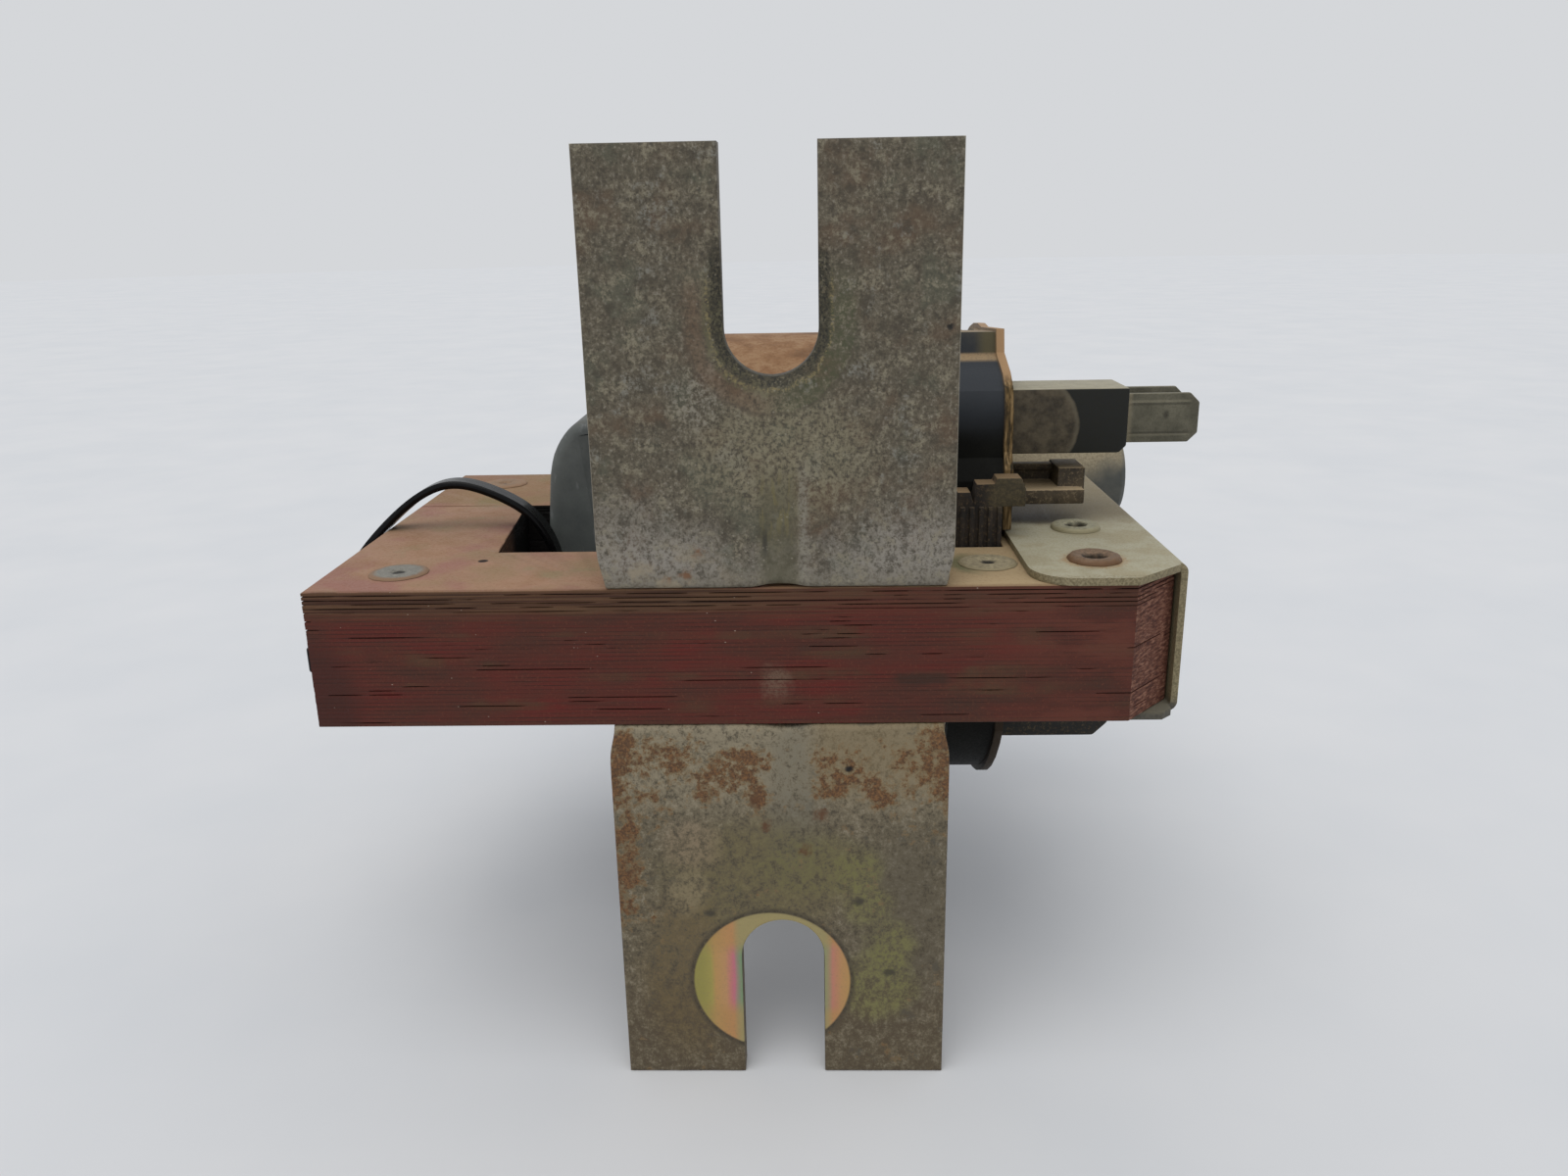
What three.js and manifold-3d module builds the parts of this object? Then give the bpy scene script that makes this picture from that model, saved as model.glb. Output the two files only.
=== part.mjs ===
// Ignition coil with an open laminated core, two slotted mounting brackets and a moulded terminal head.
// Millimetres, +Z up. The working frame has X along the core, Y from the core's front face to the back,
// and Z up from the core's top face. The whole assembly is then shifted so that the origin lies on the
// mounting face of the upper bracket.

import * as THREE from 'three';
import { ConvexGeometry } from 'three/addons/geometries/ConvexGeometry.js';
import { mergeVertices } from 'three/addons/utils/BufferGeometryUtils.js';
import Module from 'manifold-3d';

const wasm = await Module();
wasm.setup();

// ---------------------------------------------------------------- driving dimensions

const GAP = 0.3; // clearance round a piece that sits in a hole or recess
const SEAM = 0.05; // hairline between faces that rest on each other
const FINE = 48; // sides of a large round
const INNER = 30; // sides of a round that stays inside the coil
const COARSE = 16; // sides of a small round
const ARC_STEPS = 4; // straight runs in one bend or rounded corner

const CORE = { left: -54.2, right: 46.6, back: 66.5, bottom: -16.6 };
const WINDOW = { leftFront: -35.7, leftBack: -38.3, right: 28, front: 16.7, back: 43.3 };
const CORNER_CUT = { x: 6, y: 6.6 };

const BRACKET = { width: 40, thickness: 3.2, proud: 0.35, foot: 15.5, outerBend: 0.8, innerBend: 0.6 };
const UPPER = { length: 47.2, slotEnd: 23.5 };
const LOWER = { length: 48.2, slotEnd: 26.1 };
const SLOT_WIDTH = 10.2;
const GUSSET = { halfWidth: 3, rise: 13.5, depth: 1.3, ribHalfWidth: 2.4, ribReach: 9 };
const FACE_POINT_HEIGHT = 18; // the mounting face's reference point, above the core's top

const RIVET = { head: 3.6, rise: 0.3, shank: 2.3, dimple: 0.9, dimpleDepth: 1.5 };
const RIVET_SPOTS = [[-45.4, 7.7], [25.1, 9.3], [-45.4, 58.8]];
const EYELET = { head: 3.15, rise: 0.8, shank: 2.2, bore: 1.3 };
const EYELET_SPOTS = [[37.2, 7], [38.2, 22], [38.2, 57.5]];
const BRACKET_RIVET_SPOTS = [[-11.5, 9.2], [11.5, 9.2]];
const BRACKET_RIVET = { head: 3.6, rise: 1.6, shank: 2.3 };

const STRAP = { left: 29, back: 62, plate: 0.9, side: 0.8, frontTop: -0.6, frontBottom: 2.6, frontSide: 5.2 };
const STRAP_CORNER = 5;
const STRAP_BEND = 1.2;

const COIL = { y: 54.9, z: -8.3, radius: 32, left: -22, right: 27.7, wall: 3 };
const CAP = { left: -34.2, front: 36.2, halfHeight: 21.9, bore: 16.7, endWall: 3.6 };
const BOBBIN_BORE = 14.6;
const HEAD = { y: 49.4, z: -9, radius: 33.2, left: 22.3, right: 29.7, front: 20.6 };
const HEAD_LIP = { width: 1.1, rise: 0.8 };
const HEAD_PLATE = 1.7;
const HEAD_SHELL_BACK = 46;
const CHEEK = { left: 22.3, right: 30.8, front: 17.3, thickness: 3, overhang: 5 };

const BLOCK = { right: 44.7, front: 24.3, back: 33.3, bottom: 10.3, top: 18.6 };
const LUG = { right: 44.8, bottom: -29.4, height: 8.4, chamfer: 2 };
const TAB = { width: 6.3, thickness: 0.8, right: 53.9, inside: 8, tip: 1.2, z: 14.6 };
const TAB_FRONT_Y = 25.6;
const TAB_REAR_Y = 32;
const TOWER = { y: 75.2, z: -3, radius: 7, right: 57, bore: 3.7, floor: 36 };
const LEDGE = { right: 39.6, front: 24, back: 31.7, bottom: 3.7, top: 7.9, wall: 1, floor: 1.9, knob: 3.2 };

const TIE = { width: 4.6, thickness: 1.3, y: 30 };

// ---------------------------------------------------------------- finishes

const RED_PAINT = { color: 0x6e2a2a, roughness: 0.7, metalness: 0.1 };
const ZINC = { color: 0x6d6658, roughness: 0.6, metalness: 0.7 };
const GALVANISED = { color: 0xa8a086, roughness: 0.6, metalness: 0.5 };
const STEEL = { color: 0x85857f, roughness: 0.45, metalness: 0.8 };
const DUSTY_PLASTIC = { color: 0x7a5340, roughness: 0.85, metalness: 0 };
const BLACK_PLASTIC = { color: 0x1d1f24, roughness: 0.5, metalness: 0 };
const GREY_PLASTIC = { color: 0x3a3d42, roughness: 0.6, metalness: 0 };
const BOBBIN_PLASTIC = { color: 0xd8cfb8, roughness: 0.6, metalness: 0 };
const COPPER = { color: 0xb5651d, roughness: 0.35, metalness: 0.9 };
const RESIN = { color: 0x3b2a1c, roughness: 0.3, metalness: 0 };
const PAPER = { color: 0xc9b48a, roughness: 0.9, metalness: 0 };
const BRASS = { color: 0x8f8a70, roughness: 0.4, metalness: 0.9 };
const NYLON = { color: 0x0b0b0c, roughness: 0.25, metalness: 0 };

// ---------------------------------------------------------------- making and joining solids

const assembly = new THREE.Group();

function signedVolume(vertices, triangles) {
  const a = new THREE.Vector3();
  const b = new THREE.Vector3();
  const c = new THREE.Vector3();
  let sum = 0;
  for (let i = 0; i < triangles.length; i += 3) {
    a.fromArray(vertices, 3 * triangles[i]);
    b.fromArray(vertices, 3 * triangles[i + 1]);
    c.fromArray(vertices, 3 * triangles[i + 2]);
    sum += a.dot(b.cross(c));
  }
  return sum;
}

// Turns a closed geometry into a solid whose faces point out, whichever way its outline ran.
function toSolid(geometry) {
  geometry.deleteAttribute('normal');
  geometry.deleteAttribute('uv');
  const merged = mergeVertices(geometry, 1e-4);
  const vertProperties = new Float32Array(merged.attributes.position.array);
  const triVerts = new Uint32Array(merged.index.array);
  if (signedVolume(vertProperties, triVerts) < 0) {
    triVerts.reverse();
  }
  return new wasm.Manifold(new wasm.Mesh({ numProp: 3, vertProperties, triVerts }));
}

function part(name, solid, finish) {
  const { vertProperties, triVerts } = solid.getMesh();
  const geometry = new THREE.BufferGeometry();
  geometry.setAttribute('position', new THREE.BufferAttribute(vertProperties, 3));
  geometry.setIndex(new THREE.BufferAttribute(triVerts, 1));
  geometry.computeVertexNormals();
  const mesh = new THREE.Mesh(geometry, new THREE.MeshStandardMaterial(finish));
  mesh.name = name;
  assembly.add(mesh);
}

const union = (solids) => solids.reduce((whole, piece) => whole.add(piece));

function box([x0, x1], [y0, y1], [z0, z1]) {
  const geometry = new THREE.BoxGeometry(x1 - x0, y1 - y0, z1 - z0);
  geometry.translate((x0 + x1) / 2, (y0 + y1) / 2, (z0 + z1) / 2);
  return toSolid(geometry);
}

// Profile points are [radius, x]; the axis runs along X through (y, z).
function turnedAlongX(profile, y, z, sides = FINE) {
  const geometry = new THREE.LatheGeometry(profile.map(([r, x]) => new THREE.Vector2(r, x)), sides);
  geometry.rotateZ(-Math.PI / 2);
  geometry.translate(0, y, z);
  return toSolid(geometry);
}

// Profile points are [radius, z]; the axis runs along Z through (x, y).
function turnedAlongZ(profile, x, y, sides = COARSE) {
  const geometry = new THREE.LatheGeometry(profile.map(([r, z]) => new THREE.Vector2(r, z)), sides);
  geometry.rotateX(Math.PI / 2);
  geometry.translate(x, y, 0);
  return toSolid(geometry);
}

const rodAlongX = (radius, x0, x1, y, z, sides = FINE) =>
  turnedAlongX([[0, x0], [radius, x0], [radius, x1], [0, x1]], y, z, sides);

const rodAlongZ = (radius, z0, z1, x, y, sides = COARSE) =>
  turnedAlongZ([[0, z0], [radius, z0], [radius, z1], [0, z1]], x, y, sides);

const tubeAlongX = (inner, outer, x0, x1, sides = INNER) =>
  turnedAlongX([[inner, x0], [outer, x0], [outer, x1], [inner, x1], [inner, x0]], COIL.y, COIL.z, sides);

const extruded = (shape, depth) =>
  new THREE.ExtrudeGeometry(shape, { depth, bevelEnabled: false, curveSegments: ARC_STEPS });

const outline = (points) => new THREE.Shape(points.map(([u, v]) => new THREE.Vector2(u, v)));

function plateAlongZ(shape, z0, z1) {
  return toSolid(extruded(shape, z1 - z0).translate(0, 0, z0));
}

// The shape's own x and y become Y and Z.
function barAlongX(shape, x0, x1) {
  const turn = new THREE.Matrix4().set(0, 0, 1, x0, 1, 0, 0, 0, 0, 1, 0, 0, 0, 0, 0, 1);
  return toSolid(extruded(shape, x1 - x0).applyMatrix4(turn));
}

// The shape's own x and y become X and Z.
function barAlongY(shape, y0, y1) {
  return toSolid(extruded(shape, y1 - y0).rotateX(Math.PI / 2).translate(0, y1, 0));
}

// ---------------------------------------------------------------- core

const coreHoles = union([
  ...RIVET_SPOTS.map(([x, y]) => rodAlongZ(RIVET.shank + GAP, CORE.bottom - 1, 1, x, y)),
  ...EYELET_SPOTS.map(([x, y]) => rodAlongZ(EYELET.shank + GAP, CORE.bottom - 1, 1, x, y)),
  ...BRACKET_RIVET_SPOTS.map(([x, y]) => rodAlongZ(BRACKET_RIVET.shank + GAP, CORE.bottom - 1, 1, x, y)),
]);

function addCore() {
  const uOutline = outline([
    [CORE.left, 0],
    [CORE.right - CORNER_CUT.x, 0],
    [CORE.right, CORNER_CUT.y],
    [CORE.right, WINDOW.back - SEAM],
    [WINDOW.right, WINDOW.back - SEAM],
    [WINDOW.right, WINDOW.front],
    [WINDOW.leftFront, WINDOW.front],
    [WINDOW.leftBack, WINDOW.back - SEAM],
    [CORE.left, WINDOW.back - SEAM],
  ]);
  part('core_u_stack', plateAlongZ(uOutline, CORE.bottom, 0).subtract(coreHoles), RED_PAINT);
  const backLeg = box([CORE.left, CORE.right], [WINDOW.back + SEAM, CORE.back], [CORE.bottom, 0]);
  part('core_back_leg', backLeg.subtract(coreHoles), RED_PAINT);
}

// A rivet with a dimpled head at each end, clamping everything from z0 to z1.
function dimpledRivet(x, y, z0, z1) {
  const low = z0 - RIVET.rise;
  const high = z1 + RIVET.rise;
  return turnedAlongZ([
    [0, low + RIVET.dimpleDepth],
    [RIVET.dimple, low],
    [RIVET.head - RIVET.rise, low],
    [RIVET.head, z0 - SEAM],
    [RIVET.shank, z0 - SEAM],
    [RIVET.shank, z1 + SEAM],
    [RIVET.head, z1 + SEAM],
    [RIVET.head - RIVET.rise, high],
    [RIVET.dimple, high],
    [0, high - RIVET.dimpleDepth],
  ], x, y);
}

// A hollow eyelet whose ends are rolled over; the profile closes on itself round its wall.
function rolledEyelet(x, y, z0, z1) {
  const shoulder = EYELET.shank + EYELET.rise / 2;
  return turnedAlongZ([
    [EYELET.bore, z0 - EYELET.rise / 2],
    [shoulder, z0 - EYELET.rise],
    [EYELET.head, z0 - SEAM],
    [EYELET.shank, z0 - SEAM],
    [EYELET.shank, z1 + SEAM],
    [EYELET.head, z1 + SEAM],
    [shoulder, z1 + EYELET.rise],
    [EYELET.bore, z1 + EYELET.rise / 2],
    [EYELET.bore, z0 - EYELET.rise / 2],
  ], x, y);
}

function domedRivet(x, y, z0, z1) {
  const flat = BRACKET_RIVET.head / 2;
  return turnedAlongZ([
    [0, z0 - BRACKET_RIVET.rise],
    [flat, z0 - BRACKET_RIVET.rise],
    [BRACKET_RIVET.head, z0 - SEAM],
    [BRACKET_RIVET.shank, z0 - SEAM],
    [BRACKET_RIVET.shank, z1 + SEAM],
    [BRACKET_RIVET.head, z1 + SEAM],
    [flat, z1 + BRACKET_RIVET.rise],
    [0, z1 + BRACKET_RIVET.rise],
  ], x, y);
}

function addFasteners() {
  const strapLow = CORE.bottom - STRAP.plate - SEAM;
  const strapHigh = STRAP.plate + SEAM;
  const footLow = CORE.bottom - BRACKET.thickness - SEAM;
  const footHigh = BRACKET.thickness + SEAM;
  RIVET_SPOTS.forEach(([x, y], i) => {
    part(`core_rivet_${i + 1}`, dimpledRivet(x, y, CORE.bottom, 0), STEEL);
  });
  EYELET_SPOTS.forEach(([x, y], i) => {
    part(`strap_eyelet_${i + 1}`, rolledEyelet(x, y, strapLow, strapHigh), STEEL);
  });
  BRACKET_RIVET_SPOTS.forEach(([x, y], i) => {
    part(`bracket_rivet_${i + 1}`, domedRivet(x, y, footLow, footHigh), STEEL);
  });
}

// ---------------------------------------------------------------- brackets and end strap

// Side outline of a bracket standing on Z = 0, with its foot running back from the bend.
function bracketOutline(length) {
  const { thickness, foot, outerBend, innerBend } = BRACKET;
  const face = -BRACKET.proud;
  const inside = face + thickness;
  const shape = new THREE.Shape();
  shape.moveTo(foot, 0);
  shape.lineTo(foot, thickness);
  shape.lineTo(inside + innerBend, thickness);
  shape.absarc(inside + innerBend, thickness + innerBend, innerBend, -Math.PI / 2, Math.PI, true);
  shape.lineTo(inside, length);
  shape.lineTo(face, length);
  shape.lineTo(face, outerBend);
  shape.absarc(face + outerBend, outerBend, outerBend, Math.PI, 1.5 * Math.PI, false);
  return shape;
}

function slotCut(slotEnd, length) {
  const radius = SLOT_WIDTH / 2;
  const shape = new THREE.Shape();
  shape.moveTo(-radius, length + 1);
  shape.lineTo(-radius, slotEnd + radius);
  shape.absarc(0, slotEnd + radius, radius, Math.PI, 2 * Math.PI, false);
  shape.lineTo(radius, length + 1);
  return toSolid(
    new THREE.ExtrudeGeometry(shape, { depth: BRACKET.foot, bevelEnabled: false, curveSegments: COARSE })
      .rotateX(Math.PI / 2)
      .translate(0, BRACKET.foot / 2, 0),
  );
}

const wedge = (corners) => toSolid(new ConvexGeometry(corners.map((corner) => new THREE.Vector3(...corner))));

// The shallow crease pressed into the outside of the bend: one wedge up the face, one back along the foot.
function creaseCut() {
  const below = -0.5;
  const face = -BRACKET.proud - 0.1;
  const deepY = -BRACKET.proud + GUSSET.depth;
  const up = wedge([
    [0, face, GUSSET.rise],
    [-GUSSET.halfWidth, face, below],
    [GUSSET.halfWidth, face, below],
    [0, deepY, GUSSET.depth],
    [0, deepY, below],
  ]);
  const back = wedge([
    [0, GUSSET.rise, below],
    [-GUSSET.halfWidth, face, below],
    [GUSSET.halfWidth, face, below],
    [0, deepY, GUSSET.depth],
    [0, face, GUSSET.depth],
  ]);
  return up.add(back);
}

// The rib that the crease raises in the inside corner.
function creaseRib() {
  const corner = BRACKET.thickness - BRACKET.proud - 0.4;
  const floor = BRACKET.thickness - 0.4;
  return wedge([
    [0, corner, GUSSET.ribReach],
    [0, GUSSET.ribReach, floor],
    [-GUSSET.ribHalfWidth, corner, floor],
    [GUSSET.ribHalfWidth, corner, floor],
  ]);
}

function bracketSolid({ length, slotEnd }) {
  const halfWidth = BRACKET.width / 2;
  const blank = barAlongX(bracketOutline(length), -halfWidth, halfWidth);
  const footHoles = BRACKET_RIVET_SPOTS.map(([x, y]) =>
    rodAlongZ(BRACKET_RIVET.shank + GAP, -1, BRACKET.thickness + 1, x, y));
  return blank
    .add(creaseRib())
    .subtract(creaseCut())
    .subtract(slotCut(slotEnd, length))
    .subtract(union(footHoles));
}

// Rebuilds a solid at another height, upside down when facing is -1.
function restacked(solid, facing, z) {
  const { vertProperties, triVerts } = solid.getMesh();
  const geometry = new THREE.BufferGeometry();
  geometry.setAttribute('position', new THREE.BufferAttribute(vertProperties, 3));
  geometry.setIndex(new THREE.BufferAttribute(triVerts, 1));
  geometry.scale(1, 1, facing);
  geometry.translate(0, 0, z);
  return toSolid(geometry);
}

function addBrackets() {
  part('upper_bracket', restacked(bracketSolid(UPPER), 1, SEAM), ZINC);
  part('lower_bracket', restacked(bracketSolid(LOWER), -1, CORE.bottom - SEAM), ZINC);
}

function addEndStrap() {
  const inner = CORE.right + GAP;
  const outer = inner + STRAP.side;
  const topLow = SEAM;
  const topHigh = topLow + STRAP.plate;
  const bottomHigh = CORE.bottom - SEAM;
  const bottomLow = bottomHigh - STRAP.plate;
  const flatEnd = outer - STRAP_BEND;

  const topPlate = new THREE.Shape();
  topPlate.moveTo(STRAP.left, STRAP.back);
  topPlate.lineTo(STRAP.left, STRAP.frontTop + STRAP_CORNER);
  topPlate.absarc(STRAP.left + STRAP_CORNER, STRAP.frontTop + STRAP_CORNER, STRAP_CORNER,
    Math.PI, 1.5 * Math.PI, false);
  topPlate.lineTo(CORE.right - CORNER_CUT.x, STRAP.frontTop);
  topPlate.lineTo(flatEnd + 0.1, STRAP.frontSide - 0.6);
  topPlate.lineTo(flatEnd + 0.1, STRAP.back);

  const notch = 1.3;
  const bottomPlate = outline([
    [STRAP.left, STRAP.back],
    [STRAP.left, STRAP.frontBottom],
    [flatEnd - notch, STRAP.frontBottom],
    [flatEnd + 0.1, STRAP.frontBottom + notch],
    [flatEnd + 0.1, STRAP.back],
  ]);

  // The channel's wall seen from the front: two bends joined by the straight side.
  const wall = new THREE.Shape();
  wall.moveTo(flatEnd, topHigh);
  wall.absarc(flatEnd, topHigh - STRAP_BEND, STRAP_BEND, Math.PI / 2, 0, true);
  wall.lineTo(outer, bottomLow + STRAP_BEND);
  wall.absarc(flatEnd, bottomLow + STRAP_BEND, STRAP_BEND, 0, -Math.PI / 2, true);
  wall.lineTo(flatEnd, bottomHigh);
  wall.lineTo(inner - 0.1, bottomHigh);
  wall.lineTo(inner, bottomHigh + 0.5);
  wall.lineTo(inner, topLow - 0.5);
  wall.lineTo(inner - 0.1, topLow);
  wall.lineTo(flatEnd, topLow);

  const strapHoles = EYELET_SPOTS.map(([x, y]) =>
    rodAlongZ(EYELET.shank + GAP, bottomLow - 1, topHigh + 1, x, y));
  const strap = plateAlongZ(topPlate, topLow, topHigh)
    .add(plateAlongZ(bottomPlate, bottomLow, bottomHigh))
    .add(barAlongY(wall, STRAP.frontSide, STRAP.back))
    .subtract(union(strapHoles));
  part('end_strap', strap, GALVANISED);
}

// ---------------------------------------------------------------- coil

// Room left for the back leg where it runs through the coil.
const legPassage = box([-60, 60], [WINDOW.back - GAP, CORE.back + GAP], [CORE.bottom - GAP, GAP]);

// Room left for the right arm and the strap's two plates.
const armPassage = box(
  [WINDOW.right - GAP, 60],
  [-1, CORE.back + GAP],
  [CORE.bottom - STRAP.plate - GAP, STRAP.plate + GAP],
);

function addCoilCase() {
  const shoulder = 2;
  const inside = COIL.radius - COIL.wall;
  const neck = 17;
  const coilCase = turnedAlongX([
    [neck, COIL.left],
    [COIL.radius - shoulder, COIL.left],
    [COIL.radius, COIL.left + shoulder],
    [COIL.radius, COIL.right - shoulder],
    [COIL.radius - shoulder * 0.3, COIL.right - shoulder * 0.3],
    [COIL.radius - shoulder, COIL.right],
    [inside, COIL.right],
    [inside, COIL.left + COIL.wall],
    [neck, COIL.left + COIL.wall],
    [neck, COIL.left],
  ], COIL.y, COIL.z);
  part('coil_case', coilCase, DUSTY_PLASTIC);
}

// The end cap is a block with a bulging end and rounded shoulders, bored out for the bobbin.
function addEndCap() {
  const open = COIL.left - GAP;
  const side = [[0.5, 8], [1.1, 14.5], [1.6, 16.3]];
  const shoulder = [[2.7, 18.6], [4, 20.4], [5.3, 21.5], [7, CAP.halfHeight]];
  const bulge = [...side, ...shoulder];
  const upper = bulge.map(([inset, rise]) => [CAP.left + inset, COIL.z + rise]);
  const lower = bulge.map(([inset, rise]) => [CAP.left + inset, COIL.z - rise]);
  const face = outline([
    [CAP.left, COIL.z],
    ...upper,
    [open, COIL.z + CAP.halfHeight],
    [open, COIL.z - CAP.halfHeight],
    ...lower.reverse(),
  ]);
  const endCap = barAlongY(face, CAP.front, 2 * COIL.y - CAP.front)
    .subtract(rodAlongX(CAP.bore, CAP.left + CAP.endWall, open + 1, COIL.y, COIL.z, INNER))
    .subtract(legPassage);
  part('left_end_cap', endCap, GREY_PLASTIC);
}

function addWindings() {
  const start = COIL.left + COIL.wall + GAP;
  const end = 22;
  const flange = 1;
  const bobbinStart = CAP.left + CAP.endWall + GAP;
  part('primary_bobbin', turnedAlongX([
    [BOBBIN_BORE, bobbinStart],
    [16.2, bobbinStart],
    [16.2, start],
    [19.4, start],
    [19.4, start + flange],
    [16.2, start + flange],
    [16.2, end - flange],
    [19.4, end - flange],
    [19.4, end],
    [16.2, end],
    [16.2, COIL.right],
    [BOBBIN_BORE, COIL.right],
    [BOBBIN_BORE, bobbinStart],
  ], COIL.y, COIL.z, INNER), BOBBIN_PLASTIC);
  part('primary_winding', tubeAlongX(16.4, 19.2, start + flange + GAP, end - flange - GAP), COPPER);
  part('interlayer_sleeve', tubeAlongX(19.7, 20.3, start, end), PAPER);

  // Partition walls divide the high-voltage winding into chambers.
  const chambers = 4;
  const partition = 0.8;
  const pitch = (end - start - partition) / chambers;
  const comb = [[20.6, start]];
  for (let i = 0; i <= chambers; i += 1) {
    const wallStart = start + i * pitch;
    const wallEnd = wallStart + partition;
    if (i > 0) {
      comb.push([21.5, wallStart]);
    }
    comb.push([28, wallStart], [28, wallEnd]);
    if (i < chambers) {
      comb.push([21.5, wallEnd]);
      const turns = tubeAlongX(21.8, 27.6, wallEnd + GAP, wallStart + pitch - GAP);
      part(`secondary_winding_${i + 1}`, turns, COPPER);
    }
  }
  comb.push([20.6, end], [20.6, start]);
  part('secondary_bobbin', turnedAlongX(comb, COIL.y, COIL.z, INNER), BOBBIN_PLASTIC);
  part('potting_compound', tubeAlongX(16.5, 28.7, end + GAP, COIL.right - GAP), RESIN);
}

// ---------------------------------------------------------------- terminal head

// The raised housing at the upper front of the head, seen along X, grown outwards by rise.
function lobeOutline(rise) {
  return outline([
    [HEAD.y, HEAD.z],
    [22.4 - rise, 2],
    [22.4 - rise, 16],
    [23.4 - rise, 18.6 + rise],
    [25.4, 20.2 + rise],
    [28.2, 21.2 + rise],
    [31.4 - rise, 22.2 + rise],
    [32.2 - rise, 25.2 + rise],
    [45, 24.4 + rise],
    [54, 23.6 + rise / 2],
  ]);
}

function addTerminalHead() {
  const lipLeft = HEAD.right - HEAD_LIP.width;
  const lipRadius = HEAD.radius + HEAD_LIP.rise;
  const body = rodAlongX(HEAD.radius, HEAD.left, lipLeft + 0.1, HEAD.y, HEAD.z)
    .add(barAlongX(lobeOutline(0), HEAD.left, lipLeft + 0.1));
  const lip = rodAlongX(lipRadius, lipLeft, HEAD.right, HEAD.y, HEAD.z)
    .add(barAlongX(lobeOutline(HEAD_LIP.rise / 2), lipLeft, HEAD.right));
  const caseRoom = rodAlongX(COIL.radius + GAP, HEAD.left - 1, COIL.right + GAP, COIL.y, COIL.z);
  const behindShell = box(
    [HEAD.left - 1, HEAD.right - HEAD_PLATE],
    [HEAD_SHELL_BACK, HEAD.y + 60],
    [HEAD.z - 60, HEAD.z + 60],
  );
  const aheadOfHead = box([HEAD.left - 1, HEAD.right + 1], [0, HEAD.front], [-60, 60]);
  const head = body
    .add(lip)
    .subtract(caseRoom)
    .subtract(behindShell)
    .subtract(aheadOfHead)
    .subtract(armPassage)
    .subtract(legPassage);
  part('terminal_head', head, BLACK_PLASTIC);
}

// Ribbed front wall of the bobbin: it fills the window's end and reaches over the strap at the right.
function addBobbinCheek() {
  const inWindow = WINDOW.right - GAP;
  const face = outline([
    [CHEEK.left, CORE.bottom + 0.5],
    [inWindow, CORE.bottom + 0.5],
    [inWindow, CHEEK.overhang],
    [CHEEK.right, CHEEK.overhang],
    [CHEEK.right, 7.2],
    [30.2, 8.6],
    [27.2, 8.6],
    [26.9, 7.9],
    [24.7, 7.9],
    [24.3, 5.6],
    [23.9, 6.9],
    [CHEEK.left, 6.9],
  ]);
  const solids = [barAlongY(face, CHEEK.front, CHEEK.front + CHEEK.thickness)];
  const ribs = 5;
  const ribWidth = 0.6;
  for (let i = 0; i < ribs; i += 1) {
    const x = CHEEK.left + 0.4 + i * 1.15;
    solids.push(box([x, x + ribWidth], [CHEEK.front - GAP, CHEEK.front + 1], [CORE.bottom + 1, 5]));
  }
  part('bobbin_cheek', union(solids), BLACK_PLASTIC);
}

function addHeadFittings() {
  const root = HEAD.right + SEAM;

  const channel = outline([
    [LEDGE.front, LEDGE.bottom],
    [LEDGE.back, LEDGE.bottom],
    [LEDGE.back, LEDGE.top],
    [LEDGE.back - 2, LEDGE.top],
    [LEDGE.back - 2, LEDGE.top - 0.8],
    [LEDGE.back - LEDGE.wall, LEDGE.top - 0.8],
    [LEDGE.back - LEDGE.wall, LEDGE.bottom + LEDGE.floor],
    [LEDGE.front, LEDGE.bottom + LEDGE.floor],
  ]);
  const knob = box(
    [LEDGE.right - LEDGE.knob, LEDGE.right + 0.3],
    [LEDGE.front + 1.6, LEDGE.back],
    [LEDGE.bottom, LEDGE.top + 0.3],
  );
  const ledge = barAlongX(channel, root, LEDGE.right).add(knob);
  part('latch_ledge', ledge, BLACK_PLASTIC);

  const nick = 0.9;
  const blockFace = outline([
    [root, BLOCK.bottom],
    [BLOCK.right - nick, BLOCK.bottom],
    [BLOCK.right, BLOCK.bottom + nick],
    [BLOCK.right, BLOCK.top],
    [root, BLOCK.top],
  ]);
  const tabRoom = [TAB_FRONT_Y, TAB_REAR_Y].map((y) => box(
    [BLOCK.right - TAB.inside - GAP, BLOCK.right + 1],
    [y - TAB.thickness / 2 - GAP / 2, y + TAB.thickness / 2 + GAP / 2],
    [TAB.z - TAB.width / 2 - GAP / 2, TAB.z + TAB.width / 2 + GAP / 2],
  ));
  const block = barAlongY(blockFace, BLOCK.front, BLOCK.back).subtract(union(tabRoom));
  part('terminal_block', block, BLACK_PLASTIC);

  const lugFace = outline([
    [root, LUG.bottom],
    [LUG.right - LUG.chamfer, LUG.bottom],
    [LUG.right, LUG.bottom + LUG.chamfer],
    [LUG.right, LUG.bottom + LUG.height],
    [root, LUG.bottom + LUG.height],
  ]);
  part('lower_lug', barAlongY(lugFace, BLOCK.front, BLOCK.back), BLACK_PLASTIC);
}

function addTerminals() {
  const low = TAB.z - TAB.width / 2;
  const high = TAB.z + TAB.width / 2;
  const blade = outline([
    [BLOCK.right - TAB.inside, low],
    [TAB.right - TAB.tip, low],
    [TAB.right, low + TAB.tip],
    [TAB.right, high - TAB.tip],
    [TAB.right - TAB.tip, high],
    [BLOCK.right - TAB.inside, high],
  ]);
  const half = TAB.thickness / 2;
  part('spade_terminal_front', barAlongY(blade, TAB_FRONT_Y - half, TAB_FRONT_Y + half), BRASS);
  part('spade_terminal_rear', barAlongY(blade, TAB_REAR_Y - half, TAB_REAR_Y + half), BRASS);
}

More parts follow.
